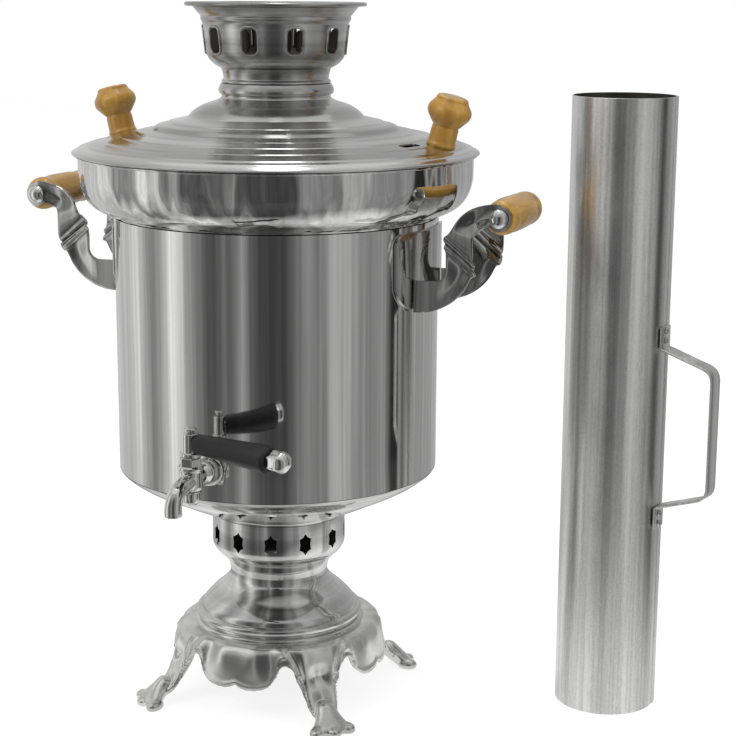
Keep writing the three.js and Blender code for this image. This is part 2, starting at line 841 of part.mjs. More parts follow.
function spoutPath() {
  const bend = 0.55 * tap.spoutReach;
  const path = new THREE.CurvePath();
  const start = new THREE.Vector3(0, plugY, tapZ);
  const turnStart = new THREE.Vector3(0, plugY - tap.spoutReach + bend, tapZ - 0.12 * tap.spoutDrop);
  const corner = new THREE.Vector3(0, plugY - tap.spoutReach, tapZ - 0.2 * tap.spoutDrop);
  const turnEnd = new THREE.Vector3(0, plugY - tap.spoutReach, tapZ - 0.75 * tap.spoutDrop);
  path.add(new THREE.LineCurve3(start, turnStart));
  path.add(new THREE.QuadraticBezierCurve3(turnStart, corner, turnEnd));
  path.add(new THREE.LineCurve3(turnEnd, new THREE.Vector3(0, plugY - tap.spoutReach, tapZ - tap.spoutDrop)));
  return path;
}

// The spout as sections across its path, with its own radius at each station
function spoutSolid(radiusAt, extra) {
  const path = spoutPath();
  const count = 9;
  const sides = 14;
  return loft(
    Array.from({ length: count }, (_, i) => {
      const share = i / (count - 1);
      const centre = path.getPointAt(share);
      const along = path.getTangentAt(share);
      if (i === count - 1) centre.addScaledVector(along, extra);
      const up = new THREE.Vector3(1, 0, 0).cross(along).normalize();
      return Array.from({ length: sides }, (_, k) => {
        const angle = (FULL_TURN * k) / sides;
        const point = centre.clone().addScaledVector(up, radiusAt(share) * Math.sin(angle));
        point.x += radiusAt(share) * Math.cos(angle);
        return point.toArray();
      });
    }),
  );
}

function tapBody() {
  const shankStart = tank.radius - 2 * sheet - lockNut.gasket - lockNut.thickness - lockNut.tail;
  const shank = alongTap(cylinder(tap.shankRadius, shankStart, tank.radius + tap.reach));
  const barrel = turned(
    [
      [0, tapZ - tap.barrelDown],
      [tap.barrelRadius - 0.5 * tap.barrelBevel, tapZ - tap.barrelDown],
      [tap.barrelRadius, tapZ - tap.barrelDown + tap.barrelBevel],
      [tap.barrelRadius, tapZ + tap.barrelUp - tap.barrelBevel],
      [tap.barrelRadius - 0.4 * tap.barrelBevel, tapZ + tap.barrelUp],
      [0, tapZ + tap.barrelUp],
    ],
    smallSteps,
  ).translate(0, plugY, 0);
  const spout = spoutSolid((share) => tap.spoutRadius * (0.92 + 0.12 * share ** 3), 0);
  const inletBore = alongTap(cylinder(tap.bore, shankStart - overrun, tank.radius + tap.reach, 12));
  const spoutBore = spoutSolid(() => tap.bore, overrun);
  const socket = cylinder(
    tap.plugRadius + gap,
    tapZ - tap.barrelDown - overrun,
    tapZ + tap.barrelUp + overrun,
  ).translate(0, plugY, 0);
  return cut(join([shank, barrel, spout]), [inletBore, spoutBore, socket]);
}
add("tap_body", tapBody(), polished);

function tapRose() {
  const face = tank.radius + gap;
  const outline = [
    [tap.shankRadius + boltGap, face],
    [rose.radius, face],
    [rose.radius, face + 0.3 * rose.thickness],
    [rose.radius - rose.bevel, face + 0.8 * rose.thickness],
    [tap.shankRadius + 0.8 * rose.bevel, face + rose.thickness],
    [tap.shankRadius + boltGap, face + rose.thickness],
  ];
  return alongTap(turned(outline));
}
add("tap_rose", tapRose(), polished);

const gasketOuter = Math.sqrt((tank.radius - sheet) ** 2 - lockNut.gasketRadius ** 2) - 2 * gap;
const gasket = ring(tap.shankRadius + boltGap, lockNut.gasketRadius, gasketOuter - lockNut.gasket, gasketOuter);
add("tap_gasket", alongTap(gasket), rubber);
const nutOuter = gasketOuter - lockNut.gasket - gap;
const nut = ring(tap.shankRadius + boltGap, lockNut.radius, nutOuter - lockNut.thickness, nutOuter, 6);
add("tap_lock_nut", alongTap(cut(nut, [cylinder(tap.shankRadius + boltGap, 0, nutOuter + overrun)])), castMetal);

// The turning key, its lever and nuts
const barrelTop = tapZ + tap.barrelUp;
const barrelFoot = tapZ - tap.barrelDown;
const collarTop = barrelTop + gap + stem.collar;
const hubTop = collarTop + stem.hub;
const leverZ = collarTop + stem.hub / 2;
const washerTop = barrelFoot - gap;
const nutTop = washerTop - stem.washer - gap;
const tailEnd = nutTop - tailLength();

function tailLength() {
  return stem.tailNut - gap - sheet;
}

function tapPlug() {
  const outline = [
    [0, tailEnd],
    [stem.tailRadius, tailEnd],
    [stem.tailRadius, barrelFoot],
    [tap.plugRadius, barrelFoot],
    [tap.plugRadius, barrelTop + gap],
    [stem.collarRadius, barrelTop + gap],
    [stem.collarRadius, collarTop],
    [stem.hubRadius, collarTop],
    [stem.hubRadius, hubTop],
    [stem.studRadius, hubTop],
    [stem.studRadius, hubTop + capNut.height / 2],
    [0, hubTop + capNut.height / 2],
  ];
  const port = cylinder(tap.bore, -tap.plugRadius - overrun, tap.plugRadius + overrun, 12)
    .rotateY(QUARTER_TURN)
    .translate(0, 0, tapZ)
    .rotateZ(radians(lever.angle));
  const socket = cylinder(lever.rodRadius + boltGap, stem.hubRadius - lever.rodDepth - gap, 2 * stem.hubRadius, 12)
    .rotateY(QUARTER_TURN)
    .rotateZ(radians(lever.angle))
    .translate(0, 0, leverZ);
  return cut(turned(outline), [port, socket]).translate(0, plugY, 0);
}
add("tap_plug", tapPlug(), polished);

const tailWasher = ring(stem.tailRadius + boltGap, stem.tailNutRadius + stem.washerProud, washerTop - stem.washer, washerTop);
add("tap_tail_washer", tailWasher.translate(0, plugY, 0), polished);

function tailNut() {
  const foot = nutTop - stem.tailNut;
  const bore = stem.tailRadius + boltGap;
  const outline = [
    [0, foot],
    [0.7 * stem.tailNutRadius, foot],
    [stem.tailNutRadius, foot + 0.25 * stem.tailNut],
    [stem.tailNutRadius, nutTop],
    [bore, nutTop],
    [bore, tailEnd - gap],
    [0, tailEnd - gap],
  ];
  return turned(outline, 12).translate(0, plugY, 0);
}
add("tap_tail_nut", tailNut(), polished);

// A piece turned about +Z from z = 0 that should lie along the lever
function alongLever(geometry) {
  return geometry.rotateY(QUARTER_TURN).rotateZ(radians(lever.angle)).translate(0, plugY, leverZ);
}

function tapLever() {
  const bore = lever.rodRadius + boltGap;
  const outline = [
    [bore, lever.start],
    [lever.startRadius - lever.ease, lever.start],
    [lever.startRadius, lever.start + lever.ease],
    [lever.endRadius, lever.length - 2 * lever.ease],
    [lever.endRadius - lever.ease, lever.length],
    [bore, lever.length],
  ];
  return alongLever(turned(outline));
}
add("tap_lever", tapLever(), blackPlastic);

function leverBall() {
  const face = lever.length + gap;
  const ball = arcPoints([0, face + lever.ballRadius * 0.92], lever.ballRadius, -64, 90, 7);
  ball.at(-1)[0] = 0;
  const outline = [
    [0, stem.hubRadius - lever.rodDepth],
    [lever.rodRadius, stem.hubRadius - lever.rodDepth],
    [lever.rodRadius, face],
    ...ball,
  ];
  return alongLever(turned(outline, 16));
}
add("tap_lever_ball", leverBall(), polished);

function capNutBody() {
  const low = hubTop + gap;
  const bore = stem.studRadius + gap;
  const boreTop = hubTop + capNut.height / 2 + gap;
  const outline = [
    [bore, low],
    [capNut.radius, low],
    [capNut.radius, low + 0.6 * capNut.height],
    [0.6 * capNut.radius, low + capNut.height],
    [0, low + capNut.height],
    [0, boreTop],
    [bore, boreTop],
  ];
  return turned(outline, 16).translate(0, plugY, 0);
}
add("tap_cap_nut", capNutBody(), polished);

// Handles, made for the +X side. The left one is the same turned half round.

// A sheet arm through stations: each has a low or grip-side point, a far point and a sideways offset
function ribbon(stations, thickness) {
  return loft(
    stations.map(({ near, far, side }) => [
      [near[0], side - thickness / 2, near[1]],
      [far[0], side - thickness / 2, far[1]],
      [far[0], side + thickness / 2, far[1]],
      [near[0], side + thickness / 2, near[1]],
    ]),
  );
}

const plateOuter = tank.radius + gap + plate.thickness;
const gripPlace = [tank.radius + handle.gripReach, wallTop + handle.gripHeight];
const bandOuter = tank.radius + handle.bandOuter;
const bandInner = bandOuter - handle.bandWidth;

// Shares of a pleat's height, of the joggle and of the pleat's taper
const pleatShares = [
  [0, 0, 0],
  [0.34, 0.75, 0],
  [0.59, 0.35, 0],
];

function armStations() {
  const low = handle.halfSpan - handle.joggle;
  const rootU = Math.sqrt(plateOuter ** 2 - low ** 2) + 2 * gap;
  const rootLow = wallTop - handle.rootLow;
  const rootHigh = wallTop - handle.rootHigh;
  const outerBend = arcPoints(
    [bandOuter - handle.rootBendRadius, rootLow + handle.rootBendRadius],
    handle.rootBendRadius,
    -80,
    -22,
    4,
  );
  const innerBend = arcPoints(
    [bandInner - handle.rootInnerRadius, rootHigh + handle.rootInnerRadius],
    handle.rootInnerRadius,
    -90,
    0,
    4,
  );
  const stations = [{ near: [rootU, rootLow], far: [rootU, rootHigh], side: low }];
  outerBend.forEach((near, i) => stations.push({ near, far: innerBend[i], side: low }));
  const pleats = pleatShares.map(([rise, step, taper]) => [rise, low + step * handle.joggle, taper]);
  pleats.push([1, handle.halfSpan + handle.pleatProud, 1]);
  pleats.forEach(([riseShare, side, taperShare]) => {
    const near = [bandOuter, wallTop - handle.pleatFoot + riseShare * handle.pleatHeight];
    const far = [bandInner + taperShare * handle.pleatTaper, near[1] + handle.pleatRise];
    stations.push({ near, far, side });
  });
  const pleatTop = wallTop - handle.pleatTop;
  const eye = handle.eyeRadius;
  const curlNear = linesOf(
    [bandOuter, pleatTop],
    [bandOuter + 0.1 * eye, pleatTop + 0.78 * eye],
    [gripPlace[0] - 0.78 * eye, gripPlace[1] - 0.76 * eye],
    3,
  );
  const curlFar = linesOf(
    [bandInner + 0.44 * eye, pleatTop + 0.44 * eye],
    [bandInner + 1.165 * eye, gripPlace[1] + 0.63 * eye],
    [gripPlace[0] - 0.2 * eye, gripPlace[1] + 0.99 * eye],
    3,
  );
  curlNear.forEach((near, i) => stations.push({ near, far: curlFar[i], side: handle.halfSpan }));
  const eyeNear = arcPoints(gripPlace, eye, -105, -15, 3);
  const eyeFar = arcPoints(gripPlace, eye, 80, 15, 3);
  eyeNear.forEach((near, i) => stations.push({ near, far: eyeFar[i], side: handle.halfSpan }));
  return stations;
}

function handleArm() {
  const hole = cylinder(rod.radius + boltGap, -handle.halfSpan - overrun, handle.halfSpan + overrun, 16)
    .rotateX(QUARTER_TURN)
    .translate(gripPlace[0], 0, gripPlace[1]);
  return cut(ribbon(armStations(), handle.armSheet), [hole]);
}

// A piece turned about +Z and centred on z = 0, set on the grip's axis with +Z along +Y
function onGrip(geometry) {
  return geometry.rotateX(-QUARTER_TURN).translate(gripPlace[0], 0, gripPlace[1]);
}

function handleGrip() {
  const half = handle.halfSpan - handle.armSheet / 2 - gap;
  const bore = rod.radius + boltGap;
  const profile = [
    [0.9, 1],
    [1, 0.93],
    [grip.radius / grip.endRadius * 0.9, 0.78],
    [(grip.radius / grip.endRadius) * grip.waistShare, 0.62],
    [grip.radius / grip.endRadius, 0.36],
    [grip.radius / grip.endRadius, 0],
  ].map(([r, z]) => [r * grip.endRadius, -z * half]);
  const mirrored = profile.slice(0, -1).map(([r, z]) => [r, -z]).reverse();
  return onGrip(turned([[bore, -half], ...profile, ...mirrored, [bore, half]], smallSteps));
}

function handlePlate() {
  const [bottom, top] = [wallTop - plate.bottom, wallTop - plate.top];
  const hoop = ring(tank.radius + gap, plateOuter, bottom, top, 72);
  const outline = roundedBox(plate.halfWidth, bottom, top, plate.bottomCorner, plate.topCorner, 5);
  const prism = slab(outline, plateOuter)
    .rotateX(QUARTER_TURN)
    .rotateZ(QUARTER_TURN)
    .translate(plateOuter / 2 + tank.radius / 2, 0, 0);
  return toGeometry(toSolid(hoop).intersect(toSolid(prism)));
}

function domedNut(side) {
  const seat = handle.halfSpan + handle.armSheet / 2 + gap;
  const bore = rod.radius + boltGap;
  const boreEnd = seat + rod.tail + gap;
  const dome = arcPoints([0, seat], 1, 0, 90, 5).map(([r, z]) => [
    r * domeNut.radius,
    seat + (z - seat) * domeNut.height,
  ]);
  dome.at(-1)[0] = 0;
  const nutGeometry = turned([[bore, seat], ...dome, [0, boreEnd], [bore, boreEnd]], 16);
  return onGrip(side < 0 ? nutGeometry.rotateX(Math.PI) : nutGeometry);
}

for (const [name, turn] of [["right", 0], ["left", Math.PI]]) {
  const frontSide = turn === 0 ? -1 : 1;
  add(`handle_plate_${name}`, handlePlate().rotateZ(turn), polished);
  for (const side of [-1, 1]) {
    const place = side === frontSide ? "front" : "rear";
    const arm = handleArm();
    if (side < 0) mirrorAcross(arm);
    add(`handle_arm_${name}_${place}`, arm.rotateZ(turn), polished);
    add(`handle_nut_${name}_${place}`, domedNut(side).rotateZ(turn), polished);
  }
  add(`handle_grip_${name}`, handleGrip().rotateZ(turn), wood);
  const rodHalf = handle.halfSpan + handle.armSheet / 2 + gap + rod.tail;
  add(`handle_rod_${name}`, onGrip(cylinder(rod.radius, -rodHalf, rodHalf, 16)).rotateZ(turn), castMetal);
}

// Mirrors a geometry in y and keeps its faces pointing out
function mirrorAcross(geometry) {
  geometry.scale(1, -1, 1);
  facingOut(geometry);
  geometry.computeVertexNormals();
}

// Draught pipe with a lock seam, its strap handle and rivets

function pipeTube() {
  const outer = pipe.radius;
  const contour = [];
  const seam = radians(pipe.seamAngle);
  const halfSeam = pipe.seamHalfWidth / outer;
  const start = seam + halfSeam;
  const sweep = FULL_TURN - 2 * halfSeam;
  for (let i = 0; i <= pipe.steps; i++) {
    const angle = start + (sweep * i) / pipe.steps;
    contour.push([outer * Math.cos(angle), outer * Math.sin(angle)]);
  }
  for (const side of [-1, 1]) {
    const angle = seam + side * halfSeam * 0.9;
    contour.push([(outer + pipe.seamRise) * Math.cos(angle), (outer + pipe.seamRise) * Math.sin(angle)]);
  }
  const wall = slab(contour, pipe.length).translate(0, 0, pipe.length / 2);
  const bore = cylinder(outer - pipe.wall, -overrun, pipe.length + overrun, pipe.steps);
  const holes = rivetHeights().map((z) => rivetAxis(cylinder(rivet.radius + gap, outer - overrun, outer + overrun, 10), z));
  return cut(wall, [bore, ...holes]);
}

function rivetHeights() {
  const fromBend = strap.foot / 2 + strap.thickness;
  return [strap.low, strap.high].flatMap((z) => {
    const middle = z === strap.low ? z - fromBend : z + fromBend;
    return [middle - rivet.spacing / 2, middle + rivet.spacing / 2];
  });
}

// A piece made along +Z from the pipe's axis outwards, turned to the strap's direction
function rivetAxis(geometry, z) {
  return geometry.rotateY(QUARTER_TURN).translate(0, 0, z).rotateZ(radians(strap.angle));
}

function strapHandle() {
  const inside = pipe.radius + gap;
  const far = inside + strap.standOff;
  const bend = strap.bend;
  const farLow = strap.low + strap.slope;
  const farHigh = strap.high - strap.slope;
  const gapSide = [
    [inside, strap.high + strap.foot],
    [inside, strap.high],
    [far - bend, farHigh + 0.25 * bend],
    [far - 0.3 * bend, farHigh - 0.3 * bend],
    [far, farHigh - bend],
    [far, farLow + bend],
    [far - 0.3 * bend, farLow + 0.3 * bend],
    [far - bend, farLow - 0.25 * bend],
    [inside, strap.low],
    [inside, strap.low - strap.foot],
  ];
  const farSide = offsetInwards(gapSide, strap.thickness).reverse();
  const band = slab([...gapSide, ...farSide], strap.width)
    .rotateX(QUARTER_TURN)
    .rotateZ(radians(strap.angle));
  const drill = cylinder(rivet.radius + gap, inside - overrun, inside + overrun + strap.thickness, 10);
  return cut(band, rivetHeights().map((z) => rivetAxis(drill.clone(), z)));
}

function rivetBody(z) {
  const tail = pipe.radius - pipe.wall - 2 * gap;
  const face = pipe.radius + gap + strap.thickness + gap;
  const outline = [
    [0, tail - rivet.head],
    [0.7 * rivet.headRadius, tail - rivet.head],
    [rivet.headRadius, tail - 0.3 * rivet.head],
    [rivet.headRadius, tail],
    [rivet.radius, tail],
    [rivet.radius, face],
    [rivet.headRadius, face],
    [0.75 * rivet.headRadius, face + 0.75 * rivet.head],
    [0, face + rivet.head],
  ];
  return rivetAxis(turned(outline, 10), z);
}

function besideSamovar(geometry) {
  return geometry.translate(pipe.x, pipe.y, 0);
}

add("pipe_tube", besideSamovar(pipeTube()), galvanised);
add("pipe_handle", besideSamovar(strapHandle()), galvanised);
rivetHeights().forEach((z, i) => add(`pipe_rivet_${i + 1}`, besideSamovar(rivetBody(z)), castMetal));

// The whole stands centred over the origin
const bounds = new THREE.Box3().setFromObject(samovar);
const centre = bounds.getCenter(new THREE.Vector3());
samovar.position.set(-centre.x, -centre.y, -bounds.min.z);

export default samovar;
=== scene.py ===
"""Charcoal samovar with its draught pipe: shapes, finishes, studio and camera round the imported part."""

import math

import bmesh
import bpy
import numpy as np
from mathutils import Matrix, Vector


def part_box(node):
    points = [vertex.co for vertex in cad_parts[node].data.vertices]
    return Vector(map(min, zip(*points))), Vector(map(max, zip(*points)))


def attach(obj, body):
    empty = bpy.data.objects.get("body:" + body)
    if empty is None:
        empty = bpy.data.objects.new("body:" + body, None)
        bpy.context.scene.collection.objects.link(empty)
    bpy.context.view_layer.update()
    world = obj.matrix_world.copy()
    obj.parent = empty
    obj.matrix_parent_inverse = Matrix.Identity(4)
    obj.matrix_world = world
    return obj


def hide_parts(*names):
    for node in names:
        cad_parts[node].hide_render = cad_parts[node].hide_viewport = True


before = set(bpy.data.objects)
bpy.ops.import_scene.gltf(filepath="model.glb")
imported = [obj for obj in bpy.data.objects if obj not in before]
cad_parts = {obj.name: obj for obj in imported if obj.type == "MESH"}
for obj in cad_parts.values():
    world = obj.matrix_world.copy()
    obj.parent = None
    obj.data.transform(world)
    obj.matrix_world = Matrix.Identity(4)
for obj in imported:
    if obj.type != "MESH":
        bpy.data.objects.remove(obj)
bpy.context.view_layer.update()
MM = 0.001
TURN = 2 * math.pi
ORIGIN = Vector((0, 0, 0))
UP = (0, 0, 1)
FRONT = (0, -1, 0)


def bottom_of(node):
    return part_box(node)[0].z / MM


def top_of(node):
    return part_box(node)[1].z / MM


def height_of(node):
    return top_of(node) - bottom_of(node)


tank_low, tank_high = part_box("tank_wall")
SAMOVAR_AXIS = Vector(((tank_low.x + tank_high.x) / 2, (tank_low.y + tank_high.y) / 2, 0))
pipe_low, pipe_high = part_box("pipe_tube")
PIPE_RADIUS = 36
PIPE_AXIS = Vector((pipe_low.x + PIPE_RADIUS * MM, (pipe_low.y + pipe_high.y) / 2, 0))
SHEET = 1.2  # thickness of the spun sheet
GAP = 0.3  # between pieces that lie against each other
WELD = 2e-6  # metres within which two corners become one
TANK_RADIUS = 115.0
COLLAR_RADIUS = 48.6


# Making meshes, in millimetres


def linked(name, data):
    piece = bpy.data.objects.new(name, data)
    bpy.context.scene.collection.objects.link(piece)
    return piece


def shade(mesh, sharp=40):
    mesh.shade_smooth()
    mesh.set_sharp_from_angle(angle=math.radians(sharp))


def new_piece(name, points, faces, axis=SAMOVAR_AXIS, sharp=40):
    """A smooth-shaded mesh from points round an upright axis."""
    mesh = bpy.data.meshes.new(name)
    placed = np.asarray(points, float).reshape(-1, 3) * MM + np.array(axis)
    mesh.from_pydata(placed.tolist(), [], faces)
    form = bmesh.new()
    form.from_mesh(mesh)
    bmesh.ops.remove_doubles(form, verts=form.verts, dist=WELD)
    bmesh.ops.recalc_face_normals(form, faces=form.faces)
    form.to_mesh(mesh)
    form.free()
    shade(mesh, sharp)
    return linked(name, mesh)


def remove(*pieces):
    for piece in pieces:
        bpy.data.objects.remove(piece)


def joined(name, pieces):
    """Several meshes as one piece."""
    form = bmesh.new()
    for piece in pieces:
        form.from_mesh(piece.data)
    mesh = bpy.data.meshes.new(name)
    form.to_mesh(mesh)
    form.free()
    remove(*pieces)
    shade(mesh)
    return linked(name, mesh)


def add_modifier(piece, kind, **settings):
    modifier = piece.modifiers.new(kind.lower(), kind)
    for key, value in settings.items():
        setattr(modifier, key, value)


def made_plain(piece, sharp=40):
    """The piece with its modifiers applied, as a plain mesh under the same name."""
    graph = bpy.context.evaluated_depsgraph_get()
    mesh = bpy.data.meshes.new_from_object(piece.evaluated_get(graph))
    name = piece.name
    piece.modifiers.clear()
    piece.data = mesh
    mesh.name = name
    shade(mesh, sharp)
    return piece


def cut_with(piece, cutter, sharp=40, operation="DIFFERENCE"):
    add_modifier(piece, "BOOLEAN", operation=operation, object=cutter, solver="EXACT")
    made_plain(piece, sharp)
    remove(cutter)


def bevelled(piece, width, angle, sharp):
    """The piece with every edge sharper than the angle rounded by a width in metres."""
    limit = math.radians(angle)
    add_modifier(piece, "BEVEL", width=width, segments=2, limit_method="ANGLE", angle_limit=limit)
    return made_plain(piece, sharp)


def melted(piece, voxel, rounds):
    """The piece's lumps as one smooth skin, from voxels of a size in metres."""
    add_modifier(piece, "REMESH", mode="VOXEL", voxel_size=voxel, adaptivity=0.0)
    add_modifier(piece, "SMOOTH", factor=0.5, iterations=rounds)
    return made_plain(piece, 180)


def polar(radius, angle, *rest):
    return (radius * math.cos(angle), radius * math.sin(angle), *rest)


def unit_rows(rows):
    return rows / np.linalg.norm(rows, axis=1)[:, None]


def slopes(line):
    """The direction of a line at each of its points."""
    return unit_rows(np.gradient(line, axis=0))


def eased(points, rise=0.0, steps=6, default=0.3):
    """The line through (radius, height, ease) points, raised, with each corner rounded off over its ease."""
    spots = [np.array((point[0], point[1] + rise), float) for point in points]
    line = [spots[0]]
    for before, corner, after, point in zip(spots, spots[1:], spots[2:], points[1:]):
        ease = point[2] if len(point) > 2 else default
        arms = [side - corner for side in (before, after)]
        start, end = [corner + arm * min(0.5, ease / max(np.linalg.norm(arm), 1e-6)) for arm in arms]
        for share in np.linspace(0, 1, steps):
            line.append((1 - share) ** 2 * start + 2 * share * (1 - share) * corner + share**2 * end)
    line.append(spots[-1])
    kept = [line[0]]
    for point in line[1:]:
        if np.linalg.norm(point - kept[-1]) > 1e-3:
            kept.append(point)
    return np.array(kept)


def sheet_section(line, thickness=SHEET):
    """A closed section whose outer face runs up the line, one sheet thick towards the axis."""
    along = slopes(line)
    inner = line + thickness * np.stack([-along[:, 1], along[:, 0]], 1)
    inner[[0, -1], 1] = line[[0, -1], 1]
    return np.vstack([line, inner[::-1]])


def smooth_line(points, copies=6):
    """A Catmull-Rom line through the points."""
    points = np.asarray(points, float)
    padded = np.vstack([2 * points[0] - points[1], points, 2 * points[-1] - points[-2]])
    line = []
    for a, b, c, d in zip(padded, padded[1:], padded[2:], padded[3:]):
        for share in np.linspace(0, 1, copies, endpoint=False):
            curve = (2 * a - 5 * b + 4 * c - d) * share**2 + (3 * b - a - 3 * c + d) * share**3
            line.append(0.5 * (2 * b + (c - a) * share + curve))
    line.append(points[-1])
    return np.array(line)


def rounded_box(half_width, low, high, low_corner, high_corner, steps=8):
    """The outline of an upright box with rounded corners."""
    outline = []
    for quarter, side in enumerate((1, -1, -1, 1)):
        corner, z = (high_corner, high - high_corner) if quarter < 2 else (low_corner, low + low_corner)
        for angle in np.linspace(0, math.pi / 2, steps) + quarter * math.pi / 2:
            across, up = polar(corner, angle)
            outline.append((side * (half_width - corner) + across, z + up))
    return outline


def grid_faces(rows, columns, close_rows=True, close_columns=True):
    """Faces of a grid numbered row by row."""
    faces = []
    for i in range(rows if close_rows else rows - 1):
        for k in range(columns if close_columns else columns - 1):
            a, b = i * columns, (i + 1) % rows * columns
            up = (k + 1) % columns
            faces.append((a + k, b + k, b + up, a + up))
    return faces


def turned(name, section, steps=144, axis=SAMOVAR_AXIS):
    """A closed section of (radius, height) points turned about the upright axis."""
    radius, height = np.asarray(section, float).T[:, None]
    turns = np.linspace(0, TURN, steps, endpoint=False)[:, None]
    points = np.stack([radius * np.cos(turns), radius * np.sin(turns), height + 0 * turns], -1)
    return new_piece(name, points, grid_faces(steps, len(section)), axis)


def aimed(piece, start, direction):
    """A piece drawn up from the world's origin, moved to a start and pointed in a direction."""
    turn = Vector(direction).to_track_quat("Z", "Y").to_matrix().to_4x4()
    piece.data.transform(Matrix.Translation(Vector(start) * MM + SAMOVAR_AXIS) @ turn)
    return piece


def turned_along(name, section, start, direction, steps=64):
    """A section turned about a line from start in a direction: its heights run along the line."""
    return aimed(turned(name, section, steps, ORIGIN), start, direction)


def slab(name, first, second):
    """Two like rings of points round the world's origin with faces between them."""
    count = len(first)
    faces = [tuple(range(count)), tuple(range(2 * count - 1, count - 1, -1))]
    faces += [(k, count + k, count + (k + 1) % count, (k + 1) % count) for k in range(count)]
    return new_piece(name, [*first, *second], faces, ORIGIN)


def prism(name, outline, near, far):
    """An outline of (across, up) points drawn on the front and pushed from one reach to another along -Y."""
    return slab(name, *[[(x, -reach, z) for x, z in outline] for reach in (near, far)])


def faced(piece, angle):
    """A piece drawn round the world's origin, set round the samovar's axis and turned."""
    piece.data.transform(Matrix.Translation(SAMOVAR_AXIS) @ Matrix.Rotation(angle, 4, "Z"))
    return piece


def swept(name, path, radii, sides=32, across=(1, 0, 0), axis=SAMOVAR_AXIS, closed=False):
    """A round bar along a path that stays square to one direction."""
    path = np.asarray(path, float)
    along = unit_rows(np.roll(path, -1, axis=0) - np.roll(path, 1, axis=0)) if closed else slopes(path)
    up = unit_rows(np.cross(np.array(across, float), along))
    side = np.cross(along, up)
    turns = np.linspace(0, TURN, sides, endpoint=False)[None, :, None]
    radii = np.broadcast_to(radii, len(path))[:, None, None]
    points = path[:, None] + radii * (np.cos(turns) * side[:, None] + np.sin(turns) * up[:, None])
    faces = grid_faces(len(path), sides, close_rows=closed)
    if not closed:
        faces += [tuple(range(sides)), tuple(range((len(path) - 1) * sides, len(path) * sides))]
    return new_piece(name, points, faces, axis)


# Node trees


def place(tree, kind, feeds=None, **settings):
    """A node with its settings, fed by sockets and values."""
    node = tree.nodes.new(kind)
    for key, value in settings.items():
        setattr(node, key, value)
    for key, value in (feeds or {}).items():
        if isinstance(value, bpy.types.NodeSocket):
            tree.links.new(value, node.inputs[key])
        else:
            node.inputs[key].default_value = value
    return node


def put(tree, kind, feeds=None, **settings):
    """The first output of a new node."""
    return place(tree, kind, feeds, **settings).outputs[0]


def maths(tree, operation, *values):
    return put(tree, "ShaderNodeMath", dict(enumerate(values)), operation=operation)


def vectors(tree, operation, *values, output=0):
    feeds = dict(enumerate(values))
    return place(tree, "ShaderNodeVectorMath", feeds, operation=operation).outputs[output]


def make_tree(name, inputs, outputs, kind="Shader"):
    """A node group. An input is given by its kind, or by its value where it is a number."""
    tree = bpy.data.node_groups.new(name, kind + "NodeTree")
    for label, given in inputs.items():
        word = given if isinstance(given, str) else "Float"
        socket = tree.interface.new_socket(label, in_out="INPUT", socket_type="NodeSocket" + word)
        if word != given:
            socket.default_value = given
    for label in outputs:
        word = "Float" if kind == "Shader" else kind
        tree.interface.new_socket(label, in_out="OUTPUT", socket_type="NodeSocket" + word)
    return tree, place(tree, "NodeGroupInput").outputs


def end_shape_tree(tree, shape, finish, label):
    """Makes copies real, dresses the shape and hands it to the group's output."""
    real = put(tree, "GeometryNodeRealizeInstances", {"Geometry": shape})
    dressed = put(tree, "GeometryNodeSetMaterial", {"Geometry": real, "Material": finish})
    place(tree, "NodeGroupOutput", {label: dressed})
    return tree


def make_ring_tree():
    """Copies of one shape set round an upright axis."""
    inputs = {"Shape": "Geometry", "Count": "Int", "First Angle": "Float", "Centre": "Vector"}
    inputs["Finish"] = "Material"
    tree, given = make_tree("copies round an axis", inputs, ["Copies"], "Geometry")
    spots = put(tree, "GeometryNodePoints", {"Count": given["Count"], "Position": given["Centre"]})
    step = maths(tree, "DIVIDE", TURN, given["Count"])
    index = put(tree, "GeometryNodeInputIndex")
    angle = maths(tree, "MULTIPLY_ADD", index, step, given["First Angle"])
    spin = put(tree, "ShaderNodeCombineXYZ", {"Z": angle})
    feeds = {"Points": spots, "Instance": given["Shape"], "Rotation": spin}
    copies = put(tree, "GeometryNodeInstanceOnPoints", feeds)
    return end_shape_tree(tree, copies, given["Finish"], "Copies")


def make_hoop_tree():
    """A strip of sheet rolled into a round wall."""
    inputs = {"Middle Radius": "Float", "Thickness": "Float", "Height": "Float", "Sides": "Int"}
    inputs["Finish"] = "Material"
    tree, given = make_tree("rolled hoop", inputs, ["Hoop"], "Geometry")
    feeds = {"Resolution": given["Sides"], "Radius": given["Middle Radius"]}
    path = put(tree, "GeometryNodeCurvePrimitiveCircle", feeds)
    feeds = {"Width": given["Thickness"], "Height": given["Height"]}
    strip = put(tree, "GeometryNodeCurvePrimitiveQuadrilateral", feeds)
    hoop = put(tree, "GeometryNodeCurveToMesh", {"Curve": path, "Profile Curve": strip})
    return end_shape_tree(tree, hoop, given["Finish"], "Hoop")


ring_tree = make_ring_tree()
hoop_tree = make_hoop_tree()


def run_nodes(piece, tree, values):
    """The piece after one node tree with its inputs set by name, as a plain mesh."""
    modifier = piece.modifiers.new(tree.name, "NODES")
    modifier.node_group = tree
    for item in tree.interface.items_tree:
        if item.in_out == "INPUT" and item.name in values:
            modifier[item.identifier] = values[item.name]
    piece.update_tag()
    return made_plain(piece)


